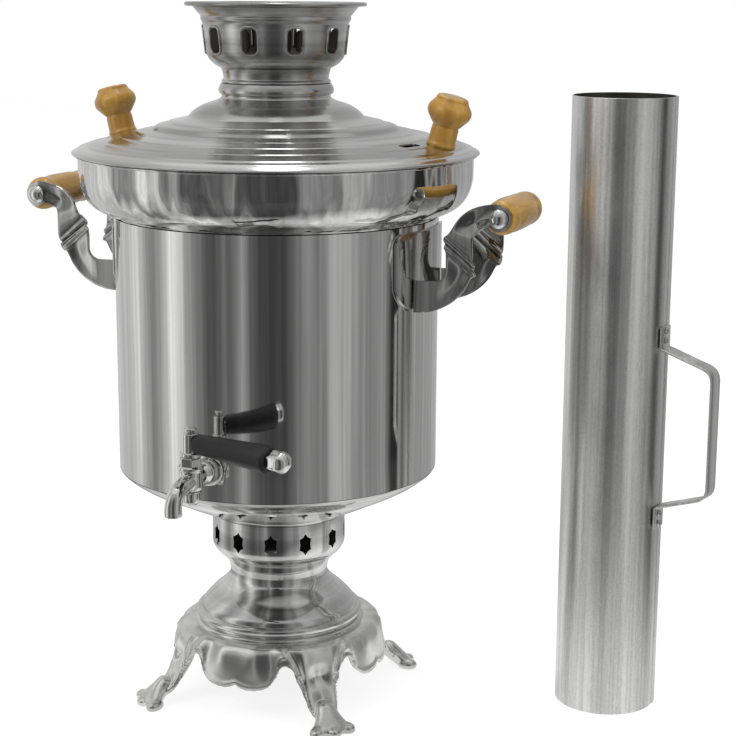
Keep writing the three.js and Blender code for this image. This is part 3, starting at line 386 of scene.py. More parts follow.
def rolled_hoop(name, radius, low, high, sides, finish):
    """A round wall of one sheet between two heights."""
    hoop = linked(name, bpy.data.meshes.new(name))
    values = {
        "Middle Radius": (radius - SHEET / 2) * MM,
        "Thickness": SHEET * MM,
        "Height": (high - low) * MM,
        "Sides": sides,
        "Finish": finish,
    }
    run_nodes(hoop, hoop_tree, values)
    hoop.data.transform(Matrix.Translation(SAMOVAR_AXIS + Vector((0, 0, (low + high) / 2 * MM))))
    return hoop


def round_axis(shape, count, first_angle, finish):
    """The shape, drawn round the world's origin, repeated round the samovar's axis as one plain mesh."""
    values = {"Count": count, "First Angle": first_angle, "Centre": tuple(SAMOVAR_AXIS), "Finish": finish}
    return run_nodes(shape, ring_tree, values)


# Finishes


def here(tree):
    return place(tree, "ShaderNodeTexCoord").outputs["Object"]


def noise(tree, vector, scale, detail=2.0, roughness=0.5):
    feeds = {"Vector": vector, "Scale": scale, "Detail": detail, "Roughness": roughness}
    return place(tree, "ShaderNodeTexNoise", feeds).outputs["Fac"]


def spread(tree, value, low, high, to_low=0.0, to_high=1.0):
    feeds = {"Value": value, "From Min": low, "From Max": high, "To Min": to_low, "To Max": to_high}
    return put(tree, "ShaderNodeMapRange", feeds)


def end_marks(tree, vector, scale, wide_share):
    """Ends a group of marks with fine ones as its height and wide ones as its streaks."""
    wide = noise(tree, vector, maths(tree, "MULTIPLY", scale, wide_share))
    place(tree, "NodeGroupOutput", {"Height": noise(tree, vector, scale, 3.0), "Streaks": wide})
    return tree


def make_spin_marks():
    """Fine rings left by spinning and polishing a sheet about an upright axis."""
    inputs = {"Axis": "Vector", "Ring Scale": 900.0}
    tree, given = make_tree("spin marks", inputs, ["Height", "Streaks"])
    local = vectors(tree, "SUBTRACT", here(tree), given["Axis"])
    split = place(tree, "ShaderNodeSeparateXYZ", {0: local}).outputs
    flat = put(tree, "ShaderNodeCombineXYZ", {0: split["X"], 1: split["Y"]})
    radius = vectors(tree, "LENGTH", flat, output="Value")
    turn = maths(tree, "MULTIPLY", maths(tree, "ARCTAN2", split["Y"], split["X"]), 0.002)
    rings = put(tree, "ShaderNodeCombineXYZ", {0: radius, 1: split["Z"], 2: turn})
    return end_marks(tree, rings, given["Ring Scale"], 0.12)


def make_upright_marks():
    """Faint lines that run up a rolled sheet, from polishing along it."""
    inputs = {"Line Scale": 420.0, "Stretch": 0.02}
    tree, given = make_tree("upright marks", inputs, ["Height", "Streaks"])
    split = place(tree, "ShaderNodeSeparateXYZ", {0: here(tree)}).outputs
    tall = maths(tree, "MULTIPLY", split["Z"], given["Stretch"])
    lines = put(tree, "ShaderNodeCombineXYZ", {0: split["X"], 1: split["Y"], 2: tall})
    return end_marks(tree, lines, given["Line Scale"], 0.15)


def make_handling():
    """Smudges and soft unevenness of a handled surface."""
    inputs = {"Smudge Scale": 22.0, "Dent Scale": 9.0}
    tree, given = make_tree("handling", inputs, ["Smudges", "Dents", "Grit"])
    point = here(tree)
    smudges = spread(tree, noise(tree, point, given["Smudge Scale"], 4.0, 0.6), 0.35, 0.75)
    dents = noise(tree, point, given["Dent Scale"], 1.0)
    grit = noise(tree, point, maths(tree, "MULTIPLY", given["Smudge Scale"], 40.0))
    place(tree, "NodeGroupOutput", {"Smudges": smudges, "Dents": dents, "Grit": grit})
    return tree


def make_turned_grain():
    """Long grain of a light wood, running along the local Z of the vector."""
    inputs = {"Vector": "Vector", "Grain Scale": 120.0}
    tree, given = make_tree("turned grain", inputs, ["Grain", "Pores"])
    vector, scale = given["Vector"], given["Grain Scale"]
    moved = vectors(tree, "ADD", vectors(tree, "MULTIPLY", vector, (1.0, 1.0, 0.14)), (0.02, 0.02, 0.0))
    fine = vectors(tree, "MULTIPLY", vector, (1.0, 1.0, 0.06))
    pores = noise(tree, fine, maths(tree, "MULTIPLY", scale, 9.0))
    place(tree, "NodeGroupOutput", {"Grain": noise(tree, moved, scale, 5.0, 0.62), "Pores": pores})
    return tree


spin_marks = make_spin_marks()
upright_marks = make_upright_marks()
handling = make_handling()
turned_grain = make_turned_grain()


class Finish:
    """A material with its Principled BSDF and short ways to feed it."""

    def __init__(self, name, **values):
        self.material = bpy.data.materials.new(name)
        self.material.use_nodes = True
        self.tree = self.material.node_tree
        self.shader = self.tree.nodes["Principled BSDF"]
        for key, value in values.items():
            self.shader.inputs[key.replace("_", " ").title().replace("Ior", "IOR")].default_value = value
        if "anisotropic" in values:
            self.feed("Tangent", put(self.tree, "ShaderNodeTangent", direction_type="RADIAL", axis="Z"))

    def feed(self, key, socket):
        self.tree.links.new(socket, self.shader.inputs[key])

    def group(self, tree, **values):
        """The outputs of a shader group, its inputs set by name."""
        feeds = {key.replace("_", " ").title(): value for key, value in values.items()}
        return place(self.tree, "ShaderNodeGroup", feeds, node_tree=tree).outputs

    def blend(self, factor, first, second):
        feeds = {"Factor": factor, 6: (*first, 1), 7: (*second, 1)}
        return place(self.tree, "ShaderNodeMix", feeds, data_type="RGBA").outputs[2]

    def done(self, colour, wear, rough, *layers):
        """The material, its roughness spread by the wear, under layers of (height, depth in metres)."""
        self.feed("Base Color", colour)
        self.feed("Roughness", spread(self.tree, wear, 0.0, 1.0, *rough))
        normal = None
        for height, depth in layers:
            feeds = {"Height": height, "Distance": depth, "Strength": 1.0}
            if normal is not None:
                feeds["Normal"] = normal
            normal = put(self.tree, "ShaderNodeBump", feeds)
        self.feed("Normal", normal)
        return self.material


def grey(level, warmth=0.005):
    return (level, level, level - warmth)


def polished_finish(
    name, dark, light, rough, ring_scale=900.0, ring_depth=1.2e-6, dent_depth=6e-5, brushed=0.3
):
    """Spun and polished sheet: rings round the axis, smudges and gentle unevenness."""
    finish = Finish(name, metallic=1.0, anisotropic=brushed, anisotropic_rotation=0.25)
    rings = finish.group(spin_marks, axis=tuple(SAMOVAR_AXIS), ring_scale=ring_scale)
    used = finish.group(handling)
    tint = finish.blend(spread(finish.tree, rings["Streaks"], 0.36, 0.64), dark, light)
    layers = [(used["Dents"], dent_depth), (rings["Height"], ring_depth)]
    return finish.done(tint, used["Smudges"], rough, *layers)


def rolled_finish(
    name, dark, light, rough, line_scale, line_depth, dent_depth, dent_scale=9.0, wave_depth=0.0
):
    """Rolled sheet with faint upright lines, and broad upright waves where they are asked for."""
    finish = Finish(name, metallic=1.0)
    lines = finish.group(upright_marks, line_scale=line_scale)
    used = finish.group(handling, dent_scale=dent_scale)
    streaks = maths(finish.tree, "ADD", lines["Streaks"], lines["Height"])
    tint = finish.blend(spread(finish.tree, streaks, 0.8, 1.2), dark, light)
    layers = [(used["Dents"], dent_depth), (lines["Height"], line_depth)]
    if wave_depth:
        waves = finish.group(upright_marks, line_scale=190.0, stretch=0.25)
        layers.insert(0, (waves["Streaks"], wave_depth))
    return finish.done(tint, used["Smudges"], rough, *layers)


def cast_finish(name, dark, light, rough, grit_depth, dent_depth=1.2e-4):
    """Cast and polished metal with fine pits and a soft skin."""
    finish = Finish(name, metallic=1.0)
    used = finish.group(handling, smudge_scale=45.0, dent_scale=28.0)
    layers = [(used["Dents"], dent_depth), (used["Grit"], grit_depth)]
    return finish.done(finish.blend(used["Smudges"], light, dark), used["Smudges"], rough, *layers)


def moulded_finish(name, dark, light, rough, grit_depth, **values):
    """A dull moulding with a fine texture."""
    finish = Finish(name, **values)
    used = finish.group(handling, smudge_scale=60.0)
    tint = finish.blend(used["Smudges"], dark, light)
    return finish.done(tint, used["Smudges"], rough, (used["Grit"], grit_depth))


def wood_finish(name, turn):
    """Varnished light wood with its grain along the turned piece."""
    finish = Finish(name, coat_weight=0.55, coat_roughness=0.12)
    mapped = put(finish.tree, "ShaderNodeMapping", {"Vector": here(finish.tree), "Rotation": turn})
    grain = finish.group(turned_grain, vector=mapped)
    colours = place(finish.tree, "ShaderNodeValToRGB", {"Fac": grain["Grain"]})
    stops = colours.color_ramp.elements
    stops.new(0.5)
    tints = ((0.22, (0.23, 0.10, 0.012, 1)), (0.5, (0.41, 0.21, 0.024, 1)), (0.78, (0.56, 0.335, 0.05, 1)))
    for stop, (position, tint) in zip(stops, tints):
        stop.position = position
        stop.color = tint
    layers = [(grain["Grain"], 1.5e-5), (grain["Pores"], 1e-5)]
    return finish.done(colours.outputs[0], grain["Pores"], (0.28, 0.45), *layers)


def make_pipe_finish():
    """Galvanised sheet: long soft streaks, a fine speckle and short upright scratches."""
    finish = Finish("pipe sheet", metallic=1.0, anisotropic=0.75, anisotropic_rotation=0.25)
    streaks = finish.group(upright_marks, line_scale=420.0, stretch=0.012)
    scratches = finish.group(upright_marks, line_scale=1500.0, stretch=0.08)
    used = finish.group(handling, smudge_scale=18.0)
    broad = maths(finish.tree, "ADD", streaks["Height"], streaks["Streaks"])
    speckle = maths(finish.tree, "ADD", scratches["Height"], used["Grit"])
    mixed = maths(finish.tree, "MULTIPLY_ADD", speckle, 0.45, broad)
    tint = finish.blend(spread(finish.tree, mixed, 1.2, 1.7), grey(0.58), grey(0.88, 0.01))
    layers = [(used["Dents"], 6e-5), (used["Grit"], 6e-6), (scratches["Height"], 5e-6)]
    return finish.done(tint, used["Smudges"], (0.3, 0.38), *layers)


wall_sheet = rolled_finish("polished wall sheet", grey(0.60), grey(0.80), (0.05, 0.1), 240.0, 2.5e-6, 1.1e-4)
pan_sheet = rolled_finish(
    "polished pan sheet", grey(0.56), grey(0.80), (0.04, 0.09), 240.0, 1.5e-6, 1.1e-4, wave_depth=4.5e-3
)
strap_sheet = rolled_finish(
    "handle sheet", grey(0.36), grey(0.60), (0.06, 0.11), 240.0, 1.5e-6, 1.6e-4, dent_scale=45.0
)
flue_sheet = rolled_finish(
    "heated flue sheet", (0.22, 0.20, 0.18), (0.36, 0.33, 0.30), (0.35, 0.5), 260.0, 4e-6, 1e-4
)
spun_sheet = polished_finish("spun sheet", grey(0.58), grey(0.80), (0.06, 0.12))
lid_sheet = polished_finish(
    "ringed lid sheet", grey(0.48), grey(0.76), (0.16, 0.24), 520.0, 1.6e-5, 8e-5, 0.75
)
crown_sheet = polished_finish("crown sheet", grey(0.34), grey(0.66), (0.2, 0.28), 900.0, 1.2e-5, 2.2e-4)
cast_metal = cast_finish("polished casting", grey(0.60, 0.01), grey(0.80, 0.01), (0.18, 0.32), 1.4e-5)
tap_chrome = cast_finish("tap plating", grey(0.68, 0.01), grey(0.82, 0.01), (0.05, 0.10), 2e-6, 6e-5)
nut_metal = cast_finish("fastener metal", grey(0.45, 0.01), grey(0.62, 0.01), (0.2, 0.32), 4e-6)
grate_iron = cast_finish("grate iron", (0.05, 0.048, 0.045), (0.11, 0.105, 0.1), (0.5, 0.7), 3e-5)
# A dark sheet for the insides of the hollow pieces and for the crown's window doors: painted shade.
painted_shade_sheet = cast_finish("painted shade sheet", (0.05, 0.047, 0.044), (0.13, 0.125, 0.12), (0.4, 0.6), 1e-5)
knob_wood = wood_finish("knob wood", (0, 0, 0))
grip_wood = wood_finish("grip wood", (math.pi / 2, 0, 0))
pipe_sheet = make_pipe_finish()
lever_black = moulded_finish(
    "lever black", (0.009, 0.009, 0.0095), (0.02, 0.02, 0.021), (0.36, 0.5), 1.2e-5, specular_ior_level=0.35
)
gasket_rubber = moulded_finish("gasket rubber", (0.02, 0.02, 0.02), (0.035, 0.035, 0.035), (0.7, 0.85), 2e-5)


def hand_over(piece, finish, body, slot, *nodes):
    """Dresses a finished piece and hangs it on its body in place of its solids."""
    piece.data.materials.clear()
    piece.data.materials.append(finish)
    for face in piece.data.polygons:
        face.material_index = 0
    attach(piece, body)
    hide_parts(*nodes)


def paint_shade_inside(piece, axis=SAMOVAR_AXIS):
    """Gives the faces that look towards the axis a dark finish: painted shade inside the hollow."""
    piece.data.materials.append(painted_shade_sheet)
    for face in piece.data.polygons:
        away = (face.center - axis) * Vector((1, 1, 0))
        if face.normal.dot(away.normalized()) < -0.25:
            face.material_index = 1


# Base casting: a scalloped apron that flows into four paw feet

SEAT_Z = top_of("base_casting")
# Bearing at the seat and at the lower edge, in degrees from the leg, then the edge's reach and height
APRON_COLUMNS = [
    (0.0, 0.0, 93.0, 10.5), (6.0, 3.0, 93.0, 10.5), (11.0, 5.6, 92.0, 11.0), (13.5, 6.5, 87.0, 18.0),
    (15.5, 8.2, 82.5, 26.5), (17.5, 11.2, 79.5, 34.5), (19.5, 15.0, 77.5, 40.5), (21.5, 18.3, 76.5, 42.6),
    (23.5, 21.2, 77.0, 40.0), (25.5, 23.2, 78.0, 34.5), (28.0, 26.0, 78.5, 29.0), (31.5, 30.5, 79.0, 25.8),
    (36.5, 36.5, 79.0, 24.8), (41.0, 41.5, 79.0, 25.6), (45.0, 45.0, 78.5, 28.0),
]
LEG_BEARINGS = [math.radians(45 + 90 * quarter) for quarter in range(4)]


def smooth_step(share):
    return share * share * (3 - 2 * share)


def swell(value, centre, width):
    """A soft hump of height 1 at the centre."""
    return np.exp(-(((value - centre) / width) ** 2))


def apron_column(seat_bearing, edge_bearing, reach, height, rows=34):
    """Points from the seat's edge over the shoulder and down to the lower edge, one column of the apron."""
    leg = smooth_step(np.clip((14 - edge_bearing) / 10, 0, 1))
    start = np.array([66.0, SEAT_Z])
    shoulder = np.array([73.0 + 10 * leg, SEAT_Z + 0.2 + 4.2 * leg])
    fall = np.array([75.2 - 2.5 * leg, max(height + 12, SEAT_Z - 12) - 17 * leg])
    edge = np.array([reach, height])
    share = np.linspace(0, 1, rows)[:, None]
    left = 1 - share
    line = left**3 * start + 3 * left**2 * share * shoulder + 3 * left * share**2 * fall + share**3 * edge
    share = share[:, 0]
    bearing = seat_bearing + (edge_bearing - seat_bearing) * smooth_step(share)
    return line, bearing, share, leg


def apron_relief(share, bearing, leg):
    """How far the carving stands proud of the apron."""
    edge_bearing = bearing[-1]
    bead = 1.1 * swell(share, 0.955, 0.03) * np.clip(edge_bearing / 6 - 0.6, 0, 1)
    scroll_place = 0.80 - 0.05 * math.cos(math.radians(edge_bearing - 18.5) * 18)
    scroll = 1.2 * swell(share, scroll_place, 0.035) * swell(edge_bearing, 18.5, 5.5)
    shell = 1.3 * np.sin(np.pi * share) ** 2 * swell(edge_bearing, 35.5, 5.5)
    hollow = -3.6 * swell(share, 0.6, 0.09) * swell(bearing, 1.5, 3.0) * leg
    spine = 1.2 * swell(share, 0.82, 0.1) * swell(bearing, 0, 2.2) * leg
    vein = 0.8 * swell(bearing + 3 * share, 9.5, 1.3) * np.sin(np.pi * share) ** 2
    seat_step = -0.9 * swell(share, 0.12, 0.03)
    return bead + scroll + shell + hollow + spine + vein + seat_step


def make_apron():
    half_quarter = [apron_column(*column) for column in smooth_line(APRON_COLUMNS)]
    points = []
    for leg_bearing in LEG_BEARINGS:
        for mirror, columns in ((1, half_quarter[::-1]), (-1, half_quarter)):
            for line, bearing, share, leg in columns[:-1]:
                angle = leg_bearing - mirror * np.radians(bearing)
                relief = apron_relief(share, bearing, leg)
                slope = slopes(line)
                radius = line[:, 0] - slope[:, 1] * relief
                height = line[:, 1] + slope[:, 0] * relief
                column = [polar(rim, angle[0], SEAT_Z) for rim in (46.5, 56.0)]
                column += list(zip(radius * np.cos(angle), radius * np.sin(angle), height))
                points.append(column)
    apron = new_piece("apron", points, grid_faces(len(points), len(points[0]), True, False))
    add_modifier(apron, "SOLIDIFY", thickness=0.0036, offset=-1.0)
    return made_plain(apron)


def rounded_lump(name, spot, turn, lengths, taper, rows=20, sides=32):
    """A rounded lobe with half lengths along, across and up, wider at its far end by the taper."""
    points = []
    for latitude in np.linspace(0, math.pi, rows):
        for side in np.linspace(0, TURN, sides, endpoint=False):
            x = -math.cos(latitude)
            across, up = polar(math.sin(latitude) * (1 + taper * x), side)
            points.append((lengths[0] * x, lengths[1] * across, lengths[2] * up))
    points = np.array(points) @ np.array(Matrix.Rotation(turn, 3, "Z")).T + np.array(spot)
    points[:, 2] = np.maximum(points[:, 2], 0.0)
    return new_piece(name, points, grid_faces(rows, sides, False, True))


def make_paw(corner):
    """A fan that widens from the leg down to three low toes."""
    lumps = []
    for splay, reach in ((0, 104.0), (22, 101.5), (-22, 101.5)):
        spot = polar(reach, corner + math.radians(splay * 0.29), 2.6)
        lumps.append(rounded_lump("toe", spot, corner + math.radians(splay), (7.5, 5.0, 4.4), 0.2))
    for share in np.linspace(0, 1, 14):
        spot = polar(89.5 + 11.5 * share, corner, 14.5 - 11.3 * share)
        lengths = (7.0, 7.0 + 7.6 * share**1.4, 5.6 - 1.2 * share)
        lumps.append(rounded_lump("fan", spot, corner, lengths, 0.1))
    return lumps


base_lumps = [make_apron()]
for leg_bearing in LEG_BEARINGS:
    base_lumps += make_paw(leg_bearing)
base = melted(joined("base_casting_skin", base_lumps), voxel=0.0009, rounds=9)
hand_over(base, cast_metal, "samovar", "cast_base", "base_casting")

# Pedestal: the bell, and the vent collar with its star holes

bell_line = [
    (48.5, 0), (62.5, 0, 0.8), (62.5, 4.4, 2.0), (58.8, 5.4, 0.5), (58.8, 6.4, 0.5), (61.2, 7.2, 1.0),
    (61.2, 11.4, 2.2), (57.2, 12.4, 0.5), (56.6, 15.4, 2.0), (52.9, 19.7, 3.0), (48.9, 24.0, 3.5),
    (43.2, 28.5, 3.5), (38.6, 33.0, 3.0), (36.0, 36.9, 2.5), (35.6, height_of("pedestal_bell")),
]
bell = turned("pedestal_bell_skin", sheet_section(eased(bell_line, bottom_of("pedestal_bell"))))
hand_over(bell, spun_sheet, "samovar", "polished_sheet", "pedestal_bell")
paint_shade_inside(bell)

STAR_COUNT, STAR_TURN = 12, math.radians(17)
STAR_POINTS, STAR_HOLLOW, STAR_DROP = 6, 0.76, 14
STAR_HALF_WIDTH, STAR_HALF_HEIGHT = 5.2, 8.0
collar_z = bottom_of("vent_collar")
collar_top = height_of("vent_collar")
star_z = collar_z + collar_top - STAR_DROP
collar_low = -0.28
collar_outer = [
    (35.6, collar_low), (37.2, 6.1, 2.5), (40.8, 10.9, 2.5), (45.9, 15.2, 2.5), (COLLAR_RADIUS, 20.0, 2.5),
    (COLLAR_RADIUS, collar_top, 0.5), (40.6, collar_top),
]
collar_inner = [
    (40.6, collar_top - SHEET), (47.4, collar_top - SHEET, 0.4), (47.4, 20.2, 2.5), (44.7, 15.6, 2.5),
    (39.6, 11.3, 2.5), (36.0, 6.4, 2.5), (34.4, collar_low),
]
collar_section = np.vstack([eased(collar_outer, collar_z), eased(collar_inner, collar_z)])
collar = turned("vent_collar_skin", collar_section)
star_outline = []
for k in range(2 * STAR_POINTS):
    across, up = polar(STAR_HOLLOW if k % 2 else 1, math.pi / 2 + math.pi * k / STAR_POINTS)
    star_outline.append((STAR_HALF_WIDTH * across, star_z + STAR_HALF_HEIGHT * up))
star = prism("star_cutter", star_outline, near=40, far=56)
cut_with(collar, round_axis(star, STAR_COUNT, STAR_TURN, spun_sheet))
hand_over(collar, spun_sheet, "samovar", "polished_sheet", "vent_collar")
paint_shade_inside(collar)

# Tank: rounded bottom, wall, flared pan and flue

dish_height = height_of("tank_dish")
dish_shares = [
    (0, 0), (0, 0.05), (0.03, 0.08), (0.14, 0.14), (0.29, 0.25), (0.47, 0.41), (0.7, 0.61), (0.83, 0.74),
    (0.925, 0.86), (0.985, 0.95), (1, 1),
]
dish_flare = TANK_RADIUS - COLLAR_RADIUS
dish_line = [(COLLAR_RADIUS + out * dish_flare, up * dish_height, 4.0) for out, up in dish_shares]
dish = turned("tank_dish_skin", sheet_section(eased(dish_line, bottom_of("tank_dish"))), 192)
hand_over(dish, spun_sheet, "samovar", "polished_sheet", "tank_dish")

wall_top = top_of("tank_wall")
wall = rolled_hoop("tank_wall_skin", TANK_RADIUS, bottom_of("tank_wall"), wall_top, 240, wall_sheet)
hand_over(wall, wall_sheet, "samovar", "polished_sheet", "tank_wall")

pan_z = bottom_of("rim_pan")
pan_top = height_of("rim_pan")
pan_outer = [
    (TANK_RADIUS, 0), (117.4, 1.7, 1.5), (124.1, 4.3, 3.5), (130.6, 8.1, 3.5), (134.9, 13.7, 3.0),
    (137.6, 20.1, 3.0), (139.0, 27.3, 3.0), (139.0, pan_top - 1.5, 0.3), (140.4, pan_top - 1.4, 0.3),
    (140.4, pan_top - 0.3, 0.3), (139.6, pan_top, 0.2), (138.4, pan_top),
]
pan_inner = [
    (137.8, pan_top), (137.8, 27.4, 3.0), (136.4, 20.4, 3.0), (133.8, 14.3, 3.0), (129.8, 9.1, 3.5),
    (123.5, 5.4, 3.5), (117.0, 2.9, 1.5), (TANK_RADIUS - SHEET, 0),
]
pan = turned("rim_pan_skin", np.vstack([eased(pan_outer, pan_z), eased(pan_inner, pan_z)]), 240)
hand_over(pan, pan_sheet, "samovar", "polished_sheet", "rim_pan")

flue_line = [(46.6, 0), (46.6, 12, 4), (34, 92, 12), (34, height_of("flue_tube"))]
flue = turned("flue_tube_skin", sheet_section(eased(flue_line, bottom_of("flue_tube"))), 96)
hand_over(flue, flue_sheet, "samovar", "flue_sheet", "flue_tube")
paint_shade_inside(flue)

# Lid with its steam slots and knobs

lid_top = top_of("lid_shell")
lid_z = top_of("rim_pan") + GAP
lid_line = [
    (142.3, 0), (143.5, 1.0, 0.6), (142.5, 2.0, 0.6), (139.4, 3.5, 0.8), (138.2, 4.7, 0.8),
    (133.6, 5.7, 1.2), (132.4, 6.7, 0.8), (122.0, 9.1, 2.0), (120.8, 9.9, 0.7), (110.4, 12.0, 2.0),
    (109.2, 12.9, 0.7), (98.4, 14.7, 2.0), (97.2, 15.5, 0.7), (87.6, 17.0, 0.9), (83.5, 20.0, 1.6),
    (76.6, 21.3, 1.0), (75.4, 22.4, 0.7), (68.0, 24.0, 1.5), (62.0, 25.5, 0.9), (58.6, 29.4, 2.2),
    (51.4, 33.8, 3.0), (42.6, 36.4, 2.4), (38.3, 38.6, 2.0), (38.2, 40.8, 0.5), (39.8, 41.6, 0.8),
    (40.6, 43.4, 1.6), (40.1, 45.8, 1.8), (39.0, 47.9, 1.0), (38.5, lid_top - lid_z),
]
lid = turned("lid_shell_skin", sheet_section(eased(lid_line, lid_z)), 240)
lip_section = [(136.4, 3.4), (136.4, -4.8, 0.3), (135.3, -4.8, 0.3), (135.3, 3.6)]
lip = turned("lid_lip", eased(lip_section, lid_z), 160)
SLOT_REACH, SLOT_HALF_LENGTH, SLOT_HALF_WIDTH, SLOT_CORNER = 114, 10.0, 3.2, 3.0
slot_outline = rounded_box(SLOT_HALF_LENGTH, -SLOT_HALF_WIDTH, SLOT_HALF_WIDTH, SLOT_CORNER, SLOT_CORNER)
for bearing in (75, -105):
    ends = [[(x, y - SLOT_REACH, lid_z + rise) for x, y in slot_outline] for rise in (2, 24)]
    cut_with(lid, faced(slab("steam_slot_cutter", *ends), math.radians(bearing)))
lid = joined("lid_shell_skin", [lid, lip])
hand_over(lid, lid_sheet, "lid", "polished_sheet", "lid_shell")

KNOB_LEAN = math.atan2(7.92, 30.5)
KNOB_REACH, KNOB_FOOT = 122, 407.27
knob_section = eased([
    (0, 0.3), (9.8, 0.3, 0.3), (10.3, 1.8, 0.6), (9.5, 3.8, 0.8), (9.3, 12.6, 1.5), (8.9, 14.6, 0.4),
    (10.2, 15.8, 0.5), (14.7, 21.7, 2.2), (15.3, 24.5, 1.6), (14.8, 27.3, 1.6), (11.2, 32.2, 1.2),
    (10.9, 33.9, 0.6), (9.6, 35.0, 0.8), (0, 35.3),
])
for side, word in ((-1, "left"), (1, "right")):
    lean = (side * math.sin(KNOB_LEAN), 0, math.cos(KNOB_LEAN))
    foot = (side * KNOB_REACH, 0, KNOB_FOOT)
    knob = turned_along(f"lid_knob_{word}_skin", knob_section, foot, lean, 96)
    hand_over(knob, knob_wood, "lid", "turned_wood", f"lid_knob_{word}")

# Crown with its windows, their raised rims and their folded doors

crown_top = top_of("crown_body")
crown_outer = eased([
    (36.7, bottom_of("crown_body") - lid_top), (36.7, 0.3, 0.3), (38.3, 0.4, 0.6), (38.3, 1.8, 0.6),
    (36.7, 3.2, 0.6), (37.5, 8.0, 1.5), (38.4, 10.4, 0.8), (42.4, 12.4, 1.5), (46.4, 15.9, 2.2),
    (48.6, 20.4, 2.0), (50.9, 41.3, 1.2), (52.6, 43.9, 1.2), (52.0, 45.8, 1.0), (54.2, 48.1, 1.5),
    (57.5, crown_top - lid_top),
], lid_top)
crown = turned("crown_body_skin", sheet_section(crown_outer), 192)
WINDOW_COUNT, WINDOW_TURN, WINDOW_DROP = 10, math.radians(3), 22.5
RIM_RADIUS, RIM_RELIEF = 0.9, 0.1
window_z = crown_top - WINDOW_DROP


def crown_radius(z):
    return np.interp(z, crown_outer[:, 1], crown_outer[:, 0])


def window_edge(half_width, half_height, corner):
    return rounded_box(half_width, window_z - half_height, window_z + half_height, corner, corner)


window = prism("window_cutter", window_edge(5.2, 8.4, 3.6), near=40, far=60)
cut_with(crown, round_axis(window, WINDOW_COUNT, WINDOW_TURN, crown_sheet))
rim_path = []
for x, z in window_edge(6.3, 9.5, 4.4):
    reach = crown_radius(z) + RIM_RELIEF
    rim_path.append(polar(reach, x / reach - math.pi / 2, z))
rim = swept("window_rim", rim_path, RIM_RADIUS, 12, FRONT, ORIGIN, closed=True)
rims = round_axis(rim, WINDOW_COUNT, WINDOW_TURN, crown_sheet)
crown = joined("crown_body_skin", [crown, rims])
hand_over(crown, crown_sheet, "crown", "polished_sheet", "crown_body")
paint_shade_inside(crown)


def window_doors():
    """The two halves of a window's punched sheet, folded inwards at its sides."""
    across, inward = polar(1, math.radians(52))
    outline = [(0, -7.6), (2.6, -7.4), (4.6, -5.6), (4.9, -3.6), (4.9, 3.6), (4.6, 5.6), (2.6, 7.4), (0, 7.6)]
    hinge, hinge_y, thickness, wall_slope = 5.0, 1.1 - crown_radius(window_z), 0.8, 0.11
    doors = []
    for side in (-1, 1):
        faces = []
        for depth in (0, thickness):
            face = []
            for width, z in outline:
                x = side * (hinge - width * across - depth * inward)
                y = hinge_y + width * inward - depth * across - wall_slope * z
                face.append((x, y, z + window_z))
            faces.append(face)
        doors.append(slab("window_door", *faces))
    return joined("window_doors", doors)


# The window doors take the dark sheet: painted shade in the crown's windows.
doors = round_axis(window_doors(), WINDOW_COUNT, WINDOW_TURN, painted_shade_sheet)
doors.name = "crown_window_doors"
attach(doors, "crown")

plate_top = height_of("crown_plate")
plate_line = [
    (40.0, plate_top / 2), (40.0, 0, 0.5), (62.4, 0, 0.8), (63.4, 0.9, 0.6), (63.4, plate_top - 0.9, 0.6),
    (62.5, plate_top, 0.6), (40.0, plate_top, 0.5), (40.0, plate_top / 2),
]
crown_plate = turned("crown_plate_skin", eased(plate_line, bottom_of("crown_plate")), 160)
hand_over(crown_plate, crown_sheet, "crown", "polished_sheet", "crown_plate")

# Tap

plug_low, plug_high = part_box("tap_plug")
plug_y = (plug_low.y + plug_high.y) / 2 / MM - SAMOVAR_AXIS.y / MM
TAP_Z = 196.0


def from_wall(name, line, steps=48):
    """A turned piece on the tap's level axis, its heights measured from the samovar's axis."""
    return turned_along(name, eased(line), (0, 0, TAP_Z), FRONT, steps)


def on_key(name, line, rise, steps=64):
    """A turned piece on the tap key's upright axis."""
    return turned_along(name, eased(line, rise), (0, plug_y, 0), UP, steps)


rose_line = [
    (0, 115.2), (11, 115.2, 0.3), (11, 116.4, 0.5), (9.4, 117.8, 1.2), (7.2, 118.3, 0.8), (5.7, 118.6),
    (0, 118.6),
]
hand_over(from_wall("tap_rose_skin", rose_line, 96), tap_chrome, "samovar", "tap_metal", "tap_rose")

shank_line = [(0, 106), (5.6, 106, 0.3), (5.6, 134, 1.0), (5.0, 136), (0, 136)]
boss_line = [
    (0, 118.2), (7.2, 118.2, 0.6), (8.4, 120.0, 1.6), (8.2, 124.8, 2.4), (5.4, 129.4, 1.6), (0, 129.6),
]
barrel_line = [
    (0, -7), (7, -7, 0.5), (8, -5, 0.8), (7.5, 6.6, 0.8), (8.6, 7.4, 0.6), (8.6, 9.3, 0.6), (5, 9.6),
    (0, 9.6),
]
gland_line = [(0, 9), (7.8, 9, 0.3), (7.8, 15, 0.6), (7.0, 16, 0.3), (0, 16)]
spout_fall = [(0, 0), (8, 1.2), (16.5, 2.6), (22.5, 5.2), (25.6, 10.5), (26, 14.5), (26, 18.1)]
spout_path = smooth_line([(0, plug_y - out, TAP_Z - down) for out, down in spout_fall])
spout_shares = np.linspace(0, 1, len(spout_path))
spout_radii = np.interp(spout_shares, (0, 0.25, 0.6, 0.85, 1), (6.1, 5.5, 5.6, 5.9, 5.85))
tap_lumps = [
    from_wall("tap_shank", shank_line),
    from_wall("tap_boss", boss_line),
    turned_along("tap_barrel", eased(barrel_line), (0, plug_y, TAP_Z), UP),
    turned_along("tap_gland_nut", eased(gland_line), (0, plug_y, TAP_Z), UP, 6),
    swept("tap_spout", spout_path, spout_radii),
]
tap_form = melted(joined("tap_body_skin", tap_lumps), voxel=0.00045, rounds=5)
BORE_POINTS, BORE_RADIUS = 22, 4.4
bore_path = spout_path[-BORE_POINTS:] + np.linspace(0, 1, BORE_POINTS)[:, None] * (0, 0, -1.5)
